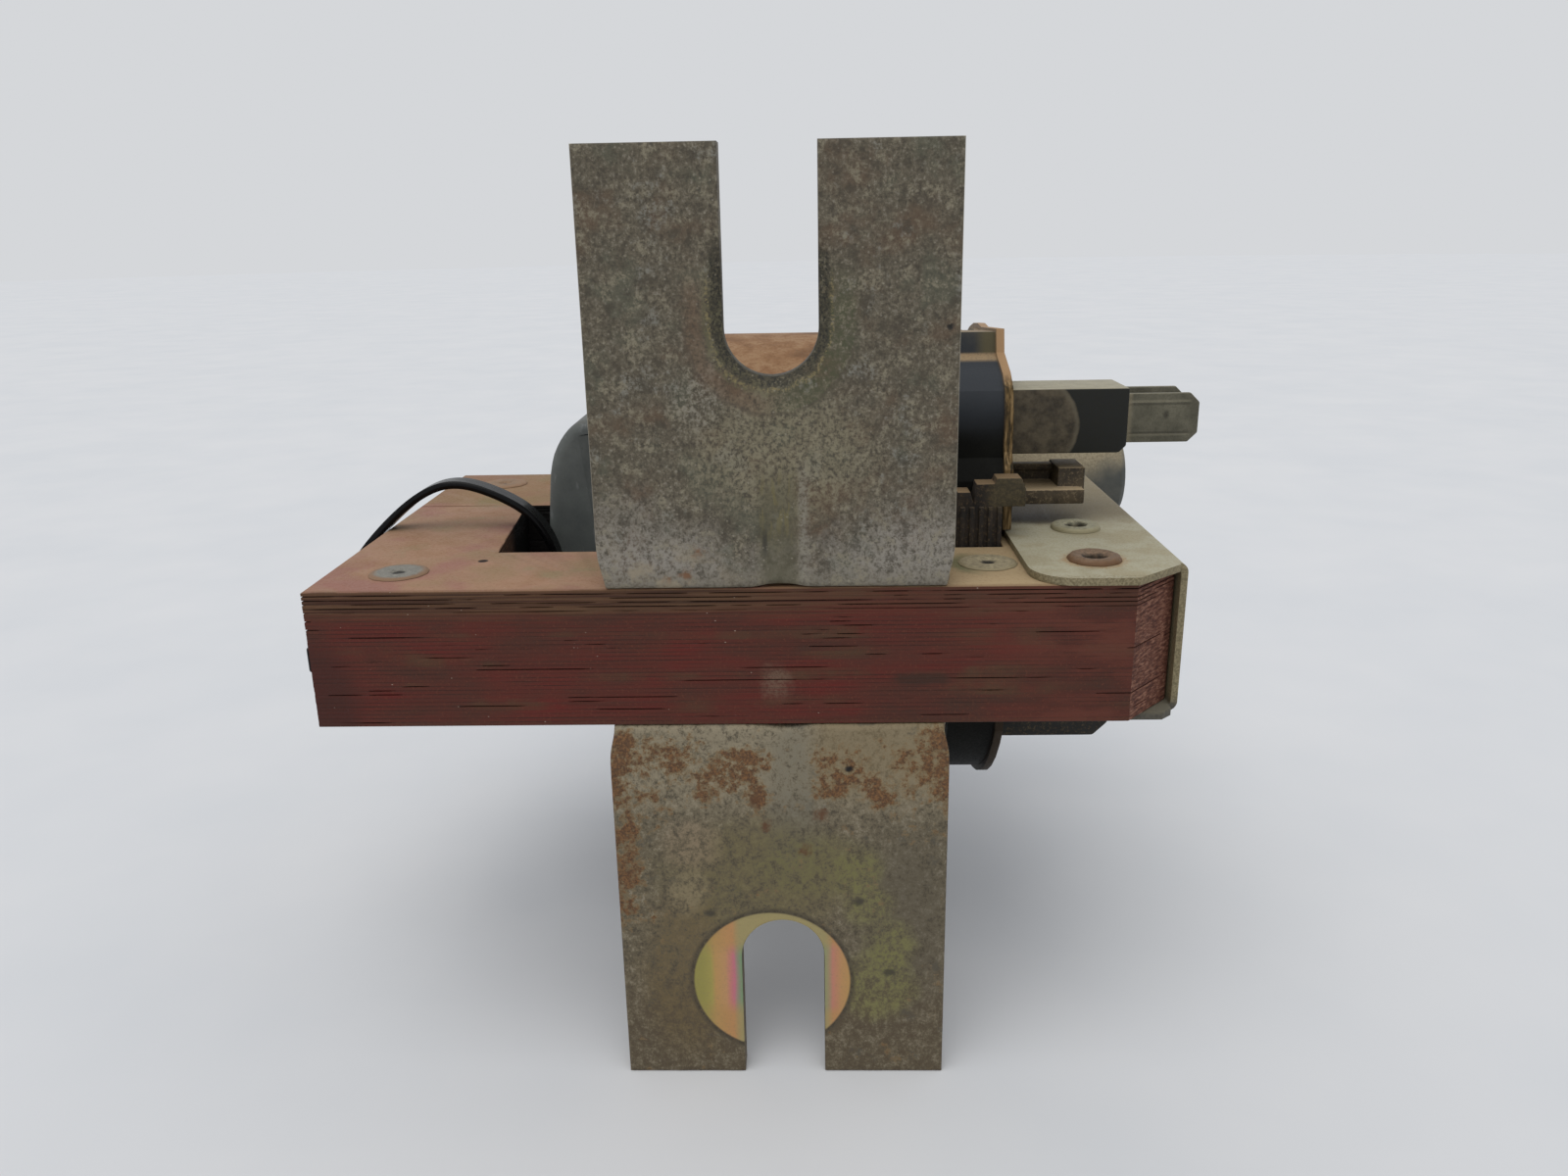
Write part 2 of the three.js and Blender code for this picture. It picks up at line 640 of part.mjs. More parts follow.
function addHighTensionOutlet() {
  const rim = 0.8;
  const tower = turnedAlongX([
    [0, HEAD.right + SEAM],
    [TOWER.radius, HEAD.right + SEAM],
    [TOWER.radius, TOWER.right - rim],
    [TOWER.radius - rim, TOWER.right],
    [TOWER.bore + 0.4, TOWER.right],
    [TOWER.bore, TOWER.right - rim],
    [TOWER.bore, TOWER.floor],
    [0, TOWER.floor],
  ], TOWER.y, TOWER.z, INNER);
  part('ht_tower', tower, GREY_PLASTIC);

  const cup = 2.4;
  const insert = turnedAlongX([
    [0, TOWER.floor + SEAM],
    [cup, TOWER.floor + SEAM],
    [cup, TOWER.floor + 10],
    [cup - 0.6, TOWER.floor + 10],
    [cup - 0.6, TOWER.floor + 1.5],
    [0, TOWER.floor + 1.5],
  ], TOWER.y, TOWER.z, COARSE);
  part('ht_insert', insert, BRASS);
}

// ---------------------------------------------------------------- cable tie

// The tie's centre line round the left arm, seen from the front as [x, z].
const TIE_ROUTE = [
  [-56.6, -1.6], [-49.4, 4.6], [-43.4, 6.2], [-36, 3.2], [-32.3, -1.2], [-31, -7], [-31.8, -14],
  [-36, -19.4], [-45, -21], [-56, -20.4], [-63.5, -18.6], [-65.2, -15.6], [-62, -9],
];

function tieOutline(offset, steps) {
  const route = new THREE.CatmullRomCurve3(
    TIE_ROUTE.map(([x, z]) => new THREE.Vector3(x, z, 0)), true, 'centripetal');
  const points = [];
  for (let i = 0; i < steps; i += 1) {
    const at = route.getPointAt(i / steps);
    const along = route.getTangentAt(i / steps);
    points.push(new THREE.Vector2(at.x - along.y * offset, at.y + along.x * offset));
  }
  return points;
}

function addCableTie() {
  const steps = 48;
  const loop = new THREE.Shape(tieOutline(TIE.thickness / 2, steps));
  loop.holes.push(new THREE.Path(tieOutline(-TIE.thickness / 2, steps).reverse()));
  const band = barAlongY(loop, TIE.y - TIE.width / 2, TIE.y + TIE.width / 2);
  const headHalf = TIE.width / 2 + 0.8;
  const lock = box([-67.6, -62.4], [TIE.y - headHalf, TIE.y + headHalf], [-20.4, -16.2]);
  part('cable_tie', band.add(lock), NYLON);
}

// ---------------------------------------------------------------- assembly

addCore();
addFasteners();
addBrackets();
addEndStrap();
addCoilCase();
addEndCap();
addWindings();
addTerminalHead();
addBobbinCheek();
addHeadFittings();
addTerminals();
addHighTensionOutlet();
addCableTie();

assembly.position.set(0, BRACKET.proud, -FACE_POINT_HEIGHT);

export default assembly;
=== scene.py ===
import math
from contextlib import contextmanager

import bmesh
import bpy
from mathutils import Matrix, Vector
from mathutils.noise import noise


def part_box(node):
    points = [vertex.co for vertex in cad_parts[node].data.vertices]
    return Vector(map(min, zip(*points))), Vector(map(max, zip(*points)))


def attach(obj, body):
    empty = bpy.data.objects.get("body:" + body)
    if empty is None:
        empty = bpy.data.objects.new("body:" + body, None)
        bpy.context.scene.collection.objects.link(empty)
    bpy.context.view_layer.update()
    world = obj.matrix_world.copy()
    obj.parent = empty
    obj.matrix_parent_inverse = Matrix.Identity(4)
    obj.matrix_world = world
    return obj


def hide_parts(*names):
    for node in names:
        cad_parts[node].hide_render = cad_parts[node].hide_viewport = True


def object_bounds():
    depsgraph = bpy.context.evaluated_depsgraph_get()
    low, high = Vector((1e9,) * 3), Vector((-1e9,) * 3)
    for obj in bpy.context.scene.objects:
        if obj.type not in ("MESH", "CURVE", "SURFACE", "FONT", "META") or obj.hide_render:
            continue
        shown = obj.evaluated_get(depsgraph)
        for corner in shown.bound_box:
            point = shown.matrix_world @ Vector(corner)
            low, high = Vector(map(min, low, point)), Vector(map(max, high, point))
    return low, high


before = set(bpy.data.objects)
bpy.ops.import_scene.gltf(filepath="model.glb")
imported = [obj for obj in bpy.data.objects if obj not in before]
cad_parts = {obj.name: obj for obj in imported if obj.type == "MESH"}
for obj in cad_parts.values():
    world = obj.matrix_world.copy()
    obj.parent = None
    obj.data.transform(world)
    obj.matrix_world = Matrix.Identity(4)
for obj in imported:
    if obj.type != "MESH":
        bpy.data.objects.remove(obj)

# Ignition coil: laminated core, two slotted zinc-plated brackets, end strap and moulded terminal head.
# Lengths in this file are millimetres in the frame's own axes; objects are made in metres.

cad_low, cad_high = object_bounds()

MM = 0.001
BODY = "root"
SEED_STEP = (17.3, -9.1, 5.7)
WELD = 0.005


def node_box(node):
    """Lowest and highest corner of a CAD node, in millimetres."""
    low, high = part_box(node)
    return Vector(low) / MM, Vector(high) / MM


CORE_LOW, CORE_HIGH = node_box("core_u_stack")
TOP = CORE_HIGH.z
BOTTOM = CORE_LOW.z
FRONT = CORE_LOW.y

# ------------------------------------------------------------------ small sums


def ease(value, start, end):
    """0 before start, 1 after end, smooth between."""
    t = min(1.0, max(0.0, (value - start) / (end - start)))
    return t * t * (3 - 2 * t)


def spread(start, end, steps, power=1.0):
    """steps + 1 values from start to end, crowded towards end when power is over 1."""
    return [end + (start - end) * (1 - i / steps) ** power for i in range(steps + 1)]


def wobble(x, y, z, size, seed=0.0):
    """Smooth noise of about -1 to 1 whose features are size millimetres across."""
    return noise(Vector((x / size + seed, y / size - seed, z / size + 3.7 * seed)))


def fillet(points, radius, closed=False, steps=3):
    """Rounds the corners of a chain of 2-D points."""
    count = len(points)
    out = []
    for i, point in enumerate(points):
        here = Vector(point)
        if not closed and i in (0, count - 1):
            out.append(here)
            continue
        before = Vector(points[i - 1]) - here
        after = Vector(points[(i + 1) % count]) - here
        reach = min(radius, before.length * 0.45, after.length * 0.45)
        start = here + before.normalized() * reach
        end = here + after.normalized() * reach
        for k in range(steps + 1):
            t = k / steps
            out.append(start * (1 - t) ** 2 + here * 2 * t * (1 - t) + end * t ** 2)
    return out


# ------------------------------------------------------------------ materials


def linear(colour, gain=1.0):
    """A colour given as it should look, 0 to 255, as the linear values shaders use."""
    values = []
    for value in colour:
        value /= 255
        value = value / 12.92 if value <= 0.04045 else ((value + 0.055) / 1.055) ** 2.4
        values.append(min(1.0, value * gain))
    return (*values, 1.0)


def shader_colour(colour):
    """A socket's value for a colour that is given as it should look, or is ready already."""
    return linear(colour) if isinstance(colour, tuple) and len(colour) == 3 else colour


class Value:
    """A number or colour that shader nodes work out, and what can be made from it."""

    def __init__(self, look, socket):
        self.look = look
        self.socket = socket

    def __add__(self, other):
        return self.look.sum("ADD", self, other)

    def __sub__(self, other):
        return self.look.sum("SUBTRACT", self, other)

    def __rsub__(self, other):
        return self.look.sum("SUBTRACT", other, self)

    def __mul__(self, other):
        return self.look.sum("MULTIPLY", self, other)

    def __abs__(self):
        return self.look.sum("ABSOLUTE", self)

    def band(self, start, end, low=0.0, high=1.0):
        """low before start, high after end, smooth between. start may be above end."""
        if start > end:
            start, end, low, high = end, start, high, low
        node = self.look.add("ShaderNodeMapRange", interpolation_type="SMOOTHSTEP")
        self.look.feed(node, Value=self, From_Min=start, From_Max=end, To_Min=low, To_Max=high)
        return Value(self.look, node.outputs["Result"])

    def mottle(self, *stops):
        """A colour ramp; each stop is a position and a colour."""
        node = self.look.add("ShaderNodeValToRGB")
        elements = node.color_ramp.elements
        while len(elements) < len(stops):
            elements.new(0.5)
        for element, (position, colour) in zip(elements, stops):
            element.position = position
            element.color = shader_colour(colour)
        self.look.feed(node, Fac=self)
        return Value(self.look, node.outputs["Color"])

    def coat(self, mask, colour):
        """Covers this colour with another one where the mask is 1."""
        self.socket = self.look.blend(mask, self, colour).socket


class Look:
    """A material under construction. Places are in millimetres; facing runs from -1 to 1."""

    def __init__(self, name, **shader):
        self.material = bpy.data.materials.new(name)
        self.material.use_nodes = True
        self.tree = self.material.node_tree
        self.shader = self.tree.nodes["Principled BSDF"]
        self.feed(self.shader, **shader)
        scaled = self.add("ShaderNodeVectorMath", operation="SCALE")
        self.feed(scaled, Vector=Value(self, self.add("ShaderNodeTexCoord").outputs["Object"]), Scale=1 / MM)
        self.place = Value(self, scaled.outputs["Vector"])
        self.x, self.y, self.z = self.parts(self.place)
        normal = self.add("ShaderNodeNewGeometry").outputs["Normal"]
        self.right, backward, self.up = self.parts(Value(self, normal))
        self.forward = backward * -1.0

    def add(self, kind, **settings):
        node = self.tree.nodes.new(kind)
        for key, value in settings.items():
            setattr(node, key, value)
        return node

    def link(self, source, socket):
        if isinstance(source, Value):
            self.tree.links.new(source.socket, socket)
        else:
            socket.default_value = source

    def feed(self, node, **inputs):
        for key, value in inputs.items():
            self.link(value, node.inputs[key.replace("_", " ")])

    def parts(self, vector):
        node = self.add("ShaderNodeSeparateXYZ")
        self.feed(node, Vector=vector)
        return [Value(self, socket) for socket in node.outputs]

    def sum(self, operation, *terms):
        node = self.add("ShaderNodeMath", operation=operation)
        for term, socket in zip(terms, node.inputs):
            self.link(term, socket)
        return Value(self, node.outputs["Value"])

    def either(self, *masks):
        result = masks[0]
        for mask in masks[1:]:
            result = self.sum("MAXIMUM", result, mask)
        return result

    def vector(self, operation, *terms):
        node = self.add("ShaderNodeVectorMath", operation=operation)
        for term, socket in zip(terms, node.inputs):
            self.link(term, socket)
        return Value(self, node.outputs["Value" if operation == "LENGTH" else "Vector"])

    def shifted(self, stretch, seed):
        """The place, stretched and moved away for each seed."""
        return self.vector("MULTIPLY_ADD", self.place, stretch, tuple(step * seed for step in SEED_STEP))

    def noise(self, size, detail=4.0, roughness=0.55, stretch=(1, 1, 1), seed=0.0):
        """Noise whose features are size millimetres across."""
        node = self.add("ShaderNodeTexNoise")
        self.feed(node, Vector=self.shifted(stretch, seed), Scale=1 / size)
        self.feed(node, Detail=detail, Roughness=roughness)
        return Value(self, node.outputs["Fac"])

    def cells(self, size, stretch=(1, 1, 1), seed=0.0):
        """Distance from the middle of scattered cells that are size millimetres across."""
        node = self.add("ShaderNodeTexVoronoi")
        self.feed(node, Vector=self.shifted(stretch, seed), Scale=1 / size)
        return Value(self, node.outputs["Distance"])

    def distance(self, point, squash=(1, 1, 1)):
        """Distance from a point, with each axis weighted by squash."""
        offset = self.vector("SUBTRACT", self.place, tuple(point))
        return self.vector("LENGTH", self.vector("MULTIPLY", offset, squash))

    def near(self, point, radius, soft, ragged=0.0, size=1.0, squash=(1, 1, 1)):
        """1 within radius of a point, fading over soft, with an edge that noise makes ragged."""
        distance = self.distance(point, squash)
        if ragged:
            distance += self.sum("MULTIPLY_ADD", self.noise(size, seed=radius), ragged * 2, -ragged)
        return distance.band(radius + soft, radius)

    def blend(self, mask, a, b):
        """Colour a where the mask is 0 and b where it is 1."""
        node = self.add("ShaderNodeMix", data_type="RGBA")
        self.link(mask, node.inputs[0])
        self.link(shader_colour(a), node.inputs[6])
        self.link(shader_colour(b), node.inputs[7])
        return Value(self, node.outputs[2])

    def carried(self, name):
        """A value that the mesh carries at its vertices."""
        return Value(self, self.add("ShaderNodeAttribute", attribute_name=name).outputs["Fac"])

    def done(self, colour, roughness, height=None, depth=0.05, strength=1.0):
        self.feed(self.shader, Base_Color=colour, Roughness=roughness)
        if height is not None:
            bump = self.add("ShaderNodeBump")
            self.feed(bump, Strength=strength, Distance=depth * MM, Height=height)
            self.feed(self.shader, Normal=Value(self, bump.outputs["Normal"]))
        return self.material


# ------------------------------------------------------------------ making meshes


@contextmanager
def editing(mesh):
    """The mesh as a bmesh, which is written back at the end."""
    work = bmesh.new()
    work.from_mesh(mesh)
    yield work
    work.to_mesh(mesh)
    work.free()


def finish_mesh(mesh, sharp):
    with editing(mesh) as work:
        bmesh.ops.recalc_face_normals(work, faces=work.faces)
    mesh.polygons.foreach_set("use_smooth", [True] * len(mesh.polygons))
    mesh.set_sharp_from_angle(angle=math.radians(sharp))
    mesh.update()


def place(node, suffix, mesh, material, sharp=35):
    """Puts a piece in the scene, named after the CAD node that it replaces."""
    finish_mesh(mesh, sharp)
    mesh.name = f"{node}_{suffix}"
    mesh.materials.clear()
    mesh.materials.append(material)
    obj = bpy.data.objects.new(mesh.name, mesh)
    bpy.context.scene.collection.objects.link(obj)
    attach(obj, BODY)
    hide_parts(node)


def mesh_of(points, faces):
    mesh = bpy.data.meshes.new("mesh")
    mesh.from_pydata([tuple(Vector(point) * MM) for point in points], [], faces)
    return mesh


def carry(mesh, name, values):
    mesh.attributes.new(name, "FLOAT", "POINT").data.foreach_set("value", values)


def rings_of(size, count):
    """Vertex numbers of count rings that were added one after another."""
    return [range(row * size, (row + 1) * size) for row in range(count)]


def skin(rings):
    """Faces between each ring of vertex numbers and the next."""
    faces = []
    for near, far in zip(rings, rings[1:]):
        for i in range(len(near)):
            j = (i + 1) % len(near)
            faces.append(tuple(dict.fromkeys((near[i], near[j], far[j], far[i]))))
    return faces


def lathe(profile, centre, axis, sides=64, rough=0.0, grain=1.5):
    """Turns (radius, along) points round an axis through centre. Ends on the axis are closed there."""
    points, rings = [], []
    for radius, along in profile:
        if radius < 1e-6:
            rings.append([len(points)] * sides)
            points.append((0.0, 0.0, along))
            continue
        rings.append(range(len(points), len(points) + sides))
        for i in range(sides):
            angle = 2 * math.pi * i / sides
            x, y = math.cos(angle), math.sin(angle)
            bump = 1 + rough * wobble(radius * x, radius * y, along, grain, radius) / max(radius, 1)
            points.append((radius * x * bump, radius * y * bump, along))
    if Vector(profile[0]) == Vector(profile[-1]):
        rings[-1] = rings[0]
    if axis == "X":
        points = [(z, x, y) for x, y, z in points]
    mesh = mesh_of([Vector(point) + Vector(centre) for point in points], skin(rings))
    with editing(mesh) as work:
        loose = [vertex for vertex in work.verts if not vertex.link_faces]
        bmesh.ops.delete(work, geom=loose, context="VERTS")
    return mesh


def refined(node, width, segments=3, angle=28):
    """The CAD node's mesh with its flat faces joined and its sharp edges rounded."""
    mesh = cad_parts[node].data.copy()
    with editing(mesh) as work:
        bmesh.ops.remove_doubles(work, verts=work.verts, dist=WELD * MM)
        bmesh.ops.dissolve_limit(work, angle_limit=math.radians(1), verts=work.verts, edges=work.edges)
        edges = [edge for edge in work.edges
                 if len(edge.link_faces) == 2 and edge.calc_face_angle(0) > math.radians(angle)]
        bmesh.ops.bevel(work, geom=edges, offset=width * MM, segments=segments, profile=0.5,
                        affect="EDGES", clamp_overlap=True)
    return mesh


def box_mesh(low, high):
    corners = [(x, y, z) for x in (low[0], high[0]) for y in (low[1], high[1]) for z in (low[2], high[2])]
    sides = [(0, 1, 3, 2), (4, 6, 7, 5), (0, 4, 5, 1), (2, 3, 7, 6), (0, 2, 6, 4), (1, 5, 7, 3)]
    return mesh_of(corners, sides)


def carve(mesh, knife_mesh):
    """Cuts one closed mesh out of another."""
    body = bpy.data.objects.new("body", mesh)
    knife = bpy.data.objects.new("knife", knife_mesh)
    for obj in (body, knife):
        finish_mesh(obj.data, 30)
        bpy.context.scene.collection.objects.link(obj)
    modifier = body.modifiers.new("cut", "BOOLEAN")
    modifier.object = knife
    modifier.operation = "DIFFERENCE"
    modifier.solver = "EXACT"
    graph = bpy.context.evaluated_depsgraph_get()
    result = bpy.data.meshes.new_from_object(body.evaluated_get(graph))
    bpy.data.objects.remove(body)
    bpy.data.objects.remove(knife)
    return result


def rounded_slab(outline, near, far, radius, steps=5):
    """A block with a closed outline in X and Z that runs from near to far in Y, its two rims rounded."""
    ring = [Vector(point) for point in outline]
    size = len(ring)
    outward = []
    for i in range(size):
        along = (ring[(i + 1) % size] - ring[i - 1]).normalized()
        outward.append(Vector((along.y, -along.x)))
    turns = [math.pi / 2 * k / steps for k in range(steps + 1)]
    rim = [(radius * (1 - math.sin(turn)), radius * (1 - math.cos(turn))) for turn in turns]
    levels = [(near + along, inset) for along, inset in reversed(rim)]
    levels += [(far - along, inset) for along, inset in rim]
    points = []
    for y, inset in levels:
        for spot, out in zip(ring, outward):
            points.append((spot.x - out.x * inset, y, spot.y - out.y * inset))
    rings = rings_of(size, len(levels))
    return mesh_of(points, skin(rings) + [tuple(rings[0]), tuple(reversed(rings[-1]))])


# ------------------------------------------------------------------ core

LAYER = 0.5
TRACE = 0.8
OPEN_LAYERS = 5
CORNER_WIDTH = 6
CORNER_DEPTH = 6.6
WINDOW_FRONT = FRONT + 16.7
WINDOW_RIGHT = 28
WINDOW_LEFT = -35.7
WINDOW_SPLAY = 2.6


def traced(corners):
    """Points every TRACE millimetres along a closed outline, each with its outward direction."""
    count = len(corners)
    ring = []
    for i in range(count):
        start, end = Vector(corners[i]), Vector(corners[(i + 1) % count])
        before = (start - Vector(corners[i - 1])).normalized()
        along = (end - start).normalized()
        steps = max(1, round((end - start).length / TRACE))
        out = Vector((along.y, -along.x))
        mitre = (Vector((before.y, -before.x)) + out).normalized()
        ring.append((start, mitre / max(0.5, mitre.dot(out))))
        ring += [(start.lerp(end, k / steps), out) for k in range(1, steps)]
    return ring


def laminated(corners, low, high, seed):
    """A stack of thin sheets whose painted edges have opened up here and there."""
    ring = traced(corners)
    layers = round((high - low) / LAYER)
    pitch = (high - low) / layers
    shoulder = 0.16 * pitch
    points, cracks, tints = [], [], []
    for layer in range(layers + 1):
        seam = low + layer * pitch
        from_top = layers - layer
        loose = ease(from_top, OPEN_LAYERS + 1, OPEN_LAYERS - 1)
        heights = [(seam - shoulder, layer - 1), (seam, None), (seam + shoulder, layer)]
        if layer == 0:
            heights = heights[1:]
        if layer == layers:
            heights = heights[:2]
        for z, sheet in heights:
            for spot, out in ring:
                long = wobble(spot.x, spot.y, 9.1 * layer, 13, seed)
                short = wobble(spot.x, spot.y, 4.3 * layer, 3.1, seed + 2)
                crack = ease(long + 0.35 * short, 0.34, 0.5)
                crack = max(crack, loose * ease(long + short, -0.35, 0.1) * 0.8)
                if layer in (0, layers):
                    crack = 0.25
                if sheet is None:
                    push = -0.025 - 0.3 * crack - 0.05 * (layer in (0, layers))
                    cracks.append(crack)
                else:
                    push = 0.035 * wobble(spot.x, spot.y, 7.7 * sheet, 20, seed + 5)
                    push += 0.02 * wobble(spot.x, spot.y, 7.7 * sheet, 1.6, seed + 7) - 0.03
                    cracks.append(0.0)
                points.append((spot.x + out.x * push, spot.y + out.y * push, z))
                tints.append(0.5 + 0.5 * wobble(spot.x, spot.y, 5.1 * (sheet or layer), 17, seed + 9))
    rings = rings_of(len(ring), len(points) // len(ring))
    mesh = mesh_of(points, [tuple(rings[0]), tuple(rings[-1])] + skin(rings))
    carry(mesh, "crack", cracks)
    carry(mesh, "tint", tints)
    return mesh


def core_look():
    look = Look("core_paint", Specular_IOR_Level=0.2)
    fine = look.noise(0.35, detail=6, roughness=0.7)
    broad = look.noise(9, detail=4, seed=1)
    streak = look.noise(7, detail=6, roughness=0.6, stretch=(0.5, 0.5, 1.6), seed=2)
    sheet = look.noise(4, detail=5, roughness=0.65, stretch=(0.12, 0.12, 12), seed=3)
    tint = look.carried("tint")
    sheets = round((TOP - BOTTOM) / LAYER)
    phase = (look.z - BOTTOM) * (sheets / (TOP - BOTTOM))
    from_middle = abs(look.sum("FRACT", phase) - 0.5)
    line_noise = look.noise(6, detail=5, roughness=0.65, stretch=(0.4, 0.4, 5), seed=12)
    line = from_middle.band(0.3, 0.48) * line_noise.band(0.4, 0.6, 0.1, 0.8)

    red = streak.mottle((0.3, (70, 46, 37)), (0.5, (86, 43, 35)), (0.68, (96, 37, 32)))
    red.coat(sheet.band(0.5, 0.66, 0.0, 0.5), (66, 42, 34))
    red.coat(line, (56, 36, 30))
    brown = tint.band(0.5, 0.75) * broad.band(0.4, 0.6)
    red.coat(brown * 0.8, (80, 58, 42))
    red.coat(fine.band(0.52, 0.66, 0.0, 0.35), (116, 72, 58))
    level = look.z + (streak - 0.5) * 3.0
    grime = level.band(TOP - 4.2, TOP - 1.6)
    lined = sheet.mottle((0.42, (60, 42, 32)), (0.55, (94, 70, 50)))
    red.coat(grime * look.x.band(16, -10, 0.3, 0.85), lined)
    foot = look.z.band(BOTTOM + 0.9, BOTTOM + 0.2, 0.0, 0.6)
    red.coat(foot * fine.band(0.42, 0.56), (84, 56, 42))
    stain = look.near((CORE_LOW.x - 1, FRONT, BOTTOM + 1), 4.5, 3.5, ragged=1.2, size=5, squash=(1, 1, 0.6))
    red.coat(stain * look.forward * 0.75, (64, 38, 33))
    smudge = look.near((-0.2, FRONT, BOTTOM + 5.2), 0.6, 1.6, ragged=1.1, size=1.6, squash=(0.9, 1, 0.8))
    red.coat(smudge * fine.band(0.36, 0.56, 0.15, 0.6), (116, 96, 80))
    dark_dash = look.near((16.4, FRONT, BOTTOM + 5.4), 1.2, 1.6, ragged=0.9, size=2, squash=(0.6, 1, 2.6))
    red.coat(dark_dash * 0.7, (56, 42, 34))
    worn = look.x.band(18, 40) * streak.band(0.42, 0.56) * look.forward
    red.coat(worn * 0.7, (98, 58, 46))
    core_cut_faces(look, red, fine)
    dust = core_dust(look, fine, broad)
    top = look.up.band(0.7, 0.95) * look.z.band(TOP - 0.35, TOP - 0.15)
    colour = look.blend(top, red, dust)
    flecks = look.cells(1.5, stretch=(1, 1, 1.6), seed=8).band(0.075, 0.04)
    rare = look.noise(6, seed=9).band(0.53, 0.6, 0.0, 0.7)
    colour.coat(flecks * rare, (176, 160, 144))
    colour.coat(look.carried("crack").band(0.2, 0.75), (20, 13, 11))
    rough = fine.band(0.35, 0.65, 0.6, 0.85)
    return look.done(colour, rough, fine + sheet * 0.9 - line, depth=0.08, strength=0.6)


def core_cut_faces(look, red, fine):
    """The scratched corner at the right and the walls of the window, with near-black painted shade deeper in
    and lower down.
    """
    scratch = look.noise(0.7, detail=5, roughness=0.7, stretch=(0.6, 0.6, 2.2), seed=7)
    chamfer = look.right.band(0.4, 0.6) * look.y.band(FRONT + 7, FRONT + 6.4)
    red.coat(chamfer, scratch.mottle((0.4, (72, 42, 34)), (0.52, (104, 66, 52)), (0.64, (138, 100, 82))))

    window = look.y.band(FRONT + 16.5, FRONT + 16.9) * look.x.band(-39.5, -39.2) * look.x.band(28.6, 28.3)
    wall = fine.mottle((0.4, (62, 44, 34)), (0.6, (96, 68, 50)))
    # painted shade: the window's walls and the back leg's front face go near-black deeper in and lower down
    wall.coat(look.y.band(FRONT + 26, FRONT + 32), (16, 13, 11))
    wall.coat(look.z.band(TOP - 2, TOP - 8), (16, 13, 11))
    red.coat(window, wall)


def core_dust(look, fine, broad):
    """The dusty top: rose, green and sand patches, a dark rim, a pit and a halo round a rivet."""
    rose = look.noise(11, detail=4, seed=6)
    dust = broad.mottle((0.34, (148, 114, 86)), (0.5, (160, 126, 102)), (0.66, (148, 122, 94)))
    dust.coat(rose.band(0.48, 0.68, 0.0, 0.8), (150, 106, 96))
    dust.coat(rose.band(0.42, 0.32, 0.0, 0.6), (138, 126, 94))
    dust.coat(look.x.band(4, 24), (170, 148, 114))
    dust.coat(fine.band(0.53, 0.68, 0, 0.4), (122, 92, 70))
    rim = look.y.band(FRONT + 0.9, FRONT + 0.2, 0.0, 0.5)
    dust.coat(rim, (112, 82, 60))
    back_rim = look.x.band(-34, -40) * look.y.band(FRONT + 43.5, FRONT + 46) * 0.4
    dust.coat(back_rim, (128, 108, 72))
    pit = look.near((-36.6, FRONT + 12.7, TOP), 0.5, 0.25)
    dust.coat(pit, (40, 30, 26))
    halo = look.near((25.1, FRONT + 9.3, TOP), 3.9, 1.8, ragged=0.8)
    dust.coat(halo * look.x.band(25, 21.5), (118, 114, 84))
    return dust


def add_core():
    """The U-shaped stack and the straight back leg."""
    back_low, back_high = node_box("core_back_leg")
    left, right = CORE_LOW.x, CORE_HIGH.x
    back = CORE_HIGH.y
    outline = [
        (left, FRONT), (right - CORNER_WIDTH, FRONT), (right, FRONT + CORNER_DEPTH), (right, back),
        (WINDOW_RIGHT, back), (WINDOW_RIGHT, WINDOW_FRONT), (WINDOW_LEFT, WINDOW_FRONT),
        (WINDOW_LEFT - WINDOW_SPLAY, back), (left, back),
    ]
    leg = [(left, back_low.y), (right, back_low.y), (right, back_high.y), (left, back_high.y)]
    paint = core_look()
    place("core_u_stack", "sheets", laminated(outline, BOTTOM, TOP, 1.0), paint)
    place("core_back_leg", "sheets", laminated(leg, BOTTOM, TOP, 6.0), paint)


# ------------------------------------------------------------------ brackets

SLOT_RADIUS = 5.1
SHEET = 3.2
OUTER_BEND = 0.8
INNER_CORNER = 3.8
BEND_LENGTH = OUTER_BEND * math.pi / 2
EDGE = 0.22
COLUMNS = 34
UPPER_SLOT_END = 23.5
LOWER_SLOT_END = 26.1
BEND_DRAW = 0.035
BEND_DRAW_REACH = 2.4
CREASE_MIDDLE = 0.5
CREASE_REACH = 13.5
CREASE_DEPTH = 0.45
WASHER_RADIUS = 8.8
WASHER_PRINT = 0.05
RING_DEPTH = 0.09
PIT_DEPTH = 0.5


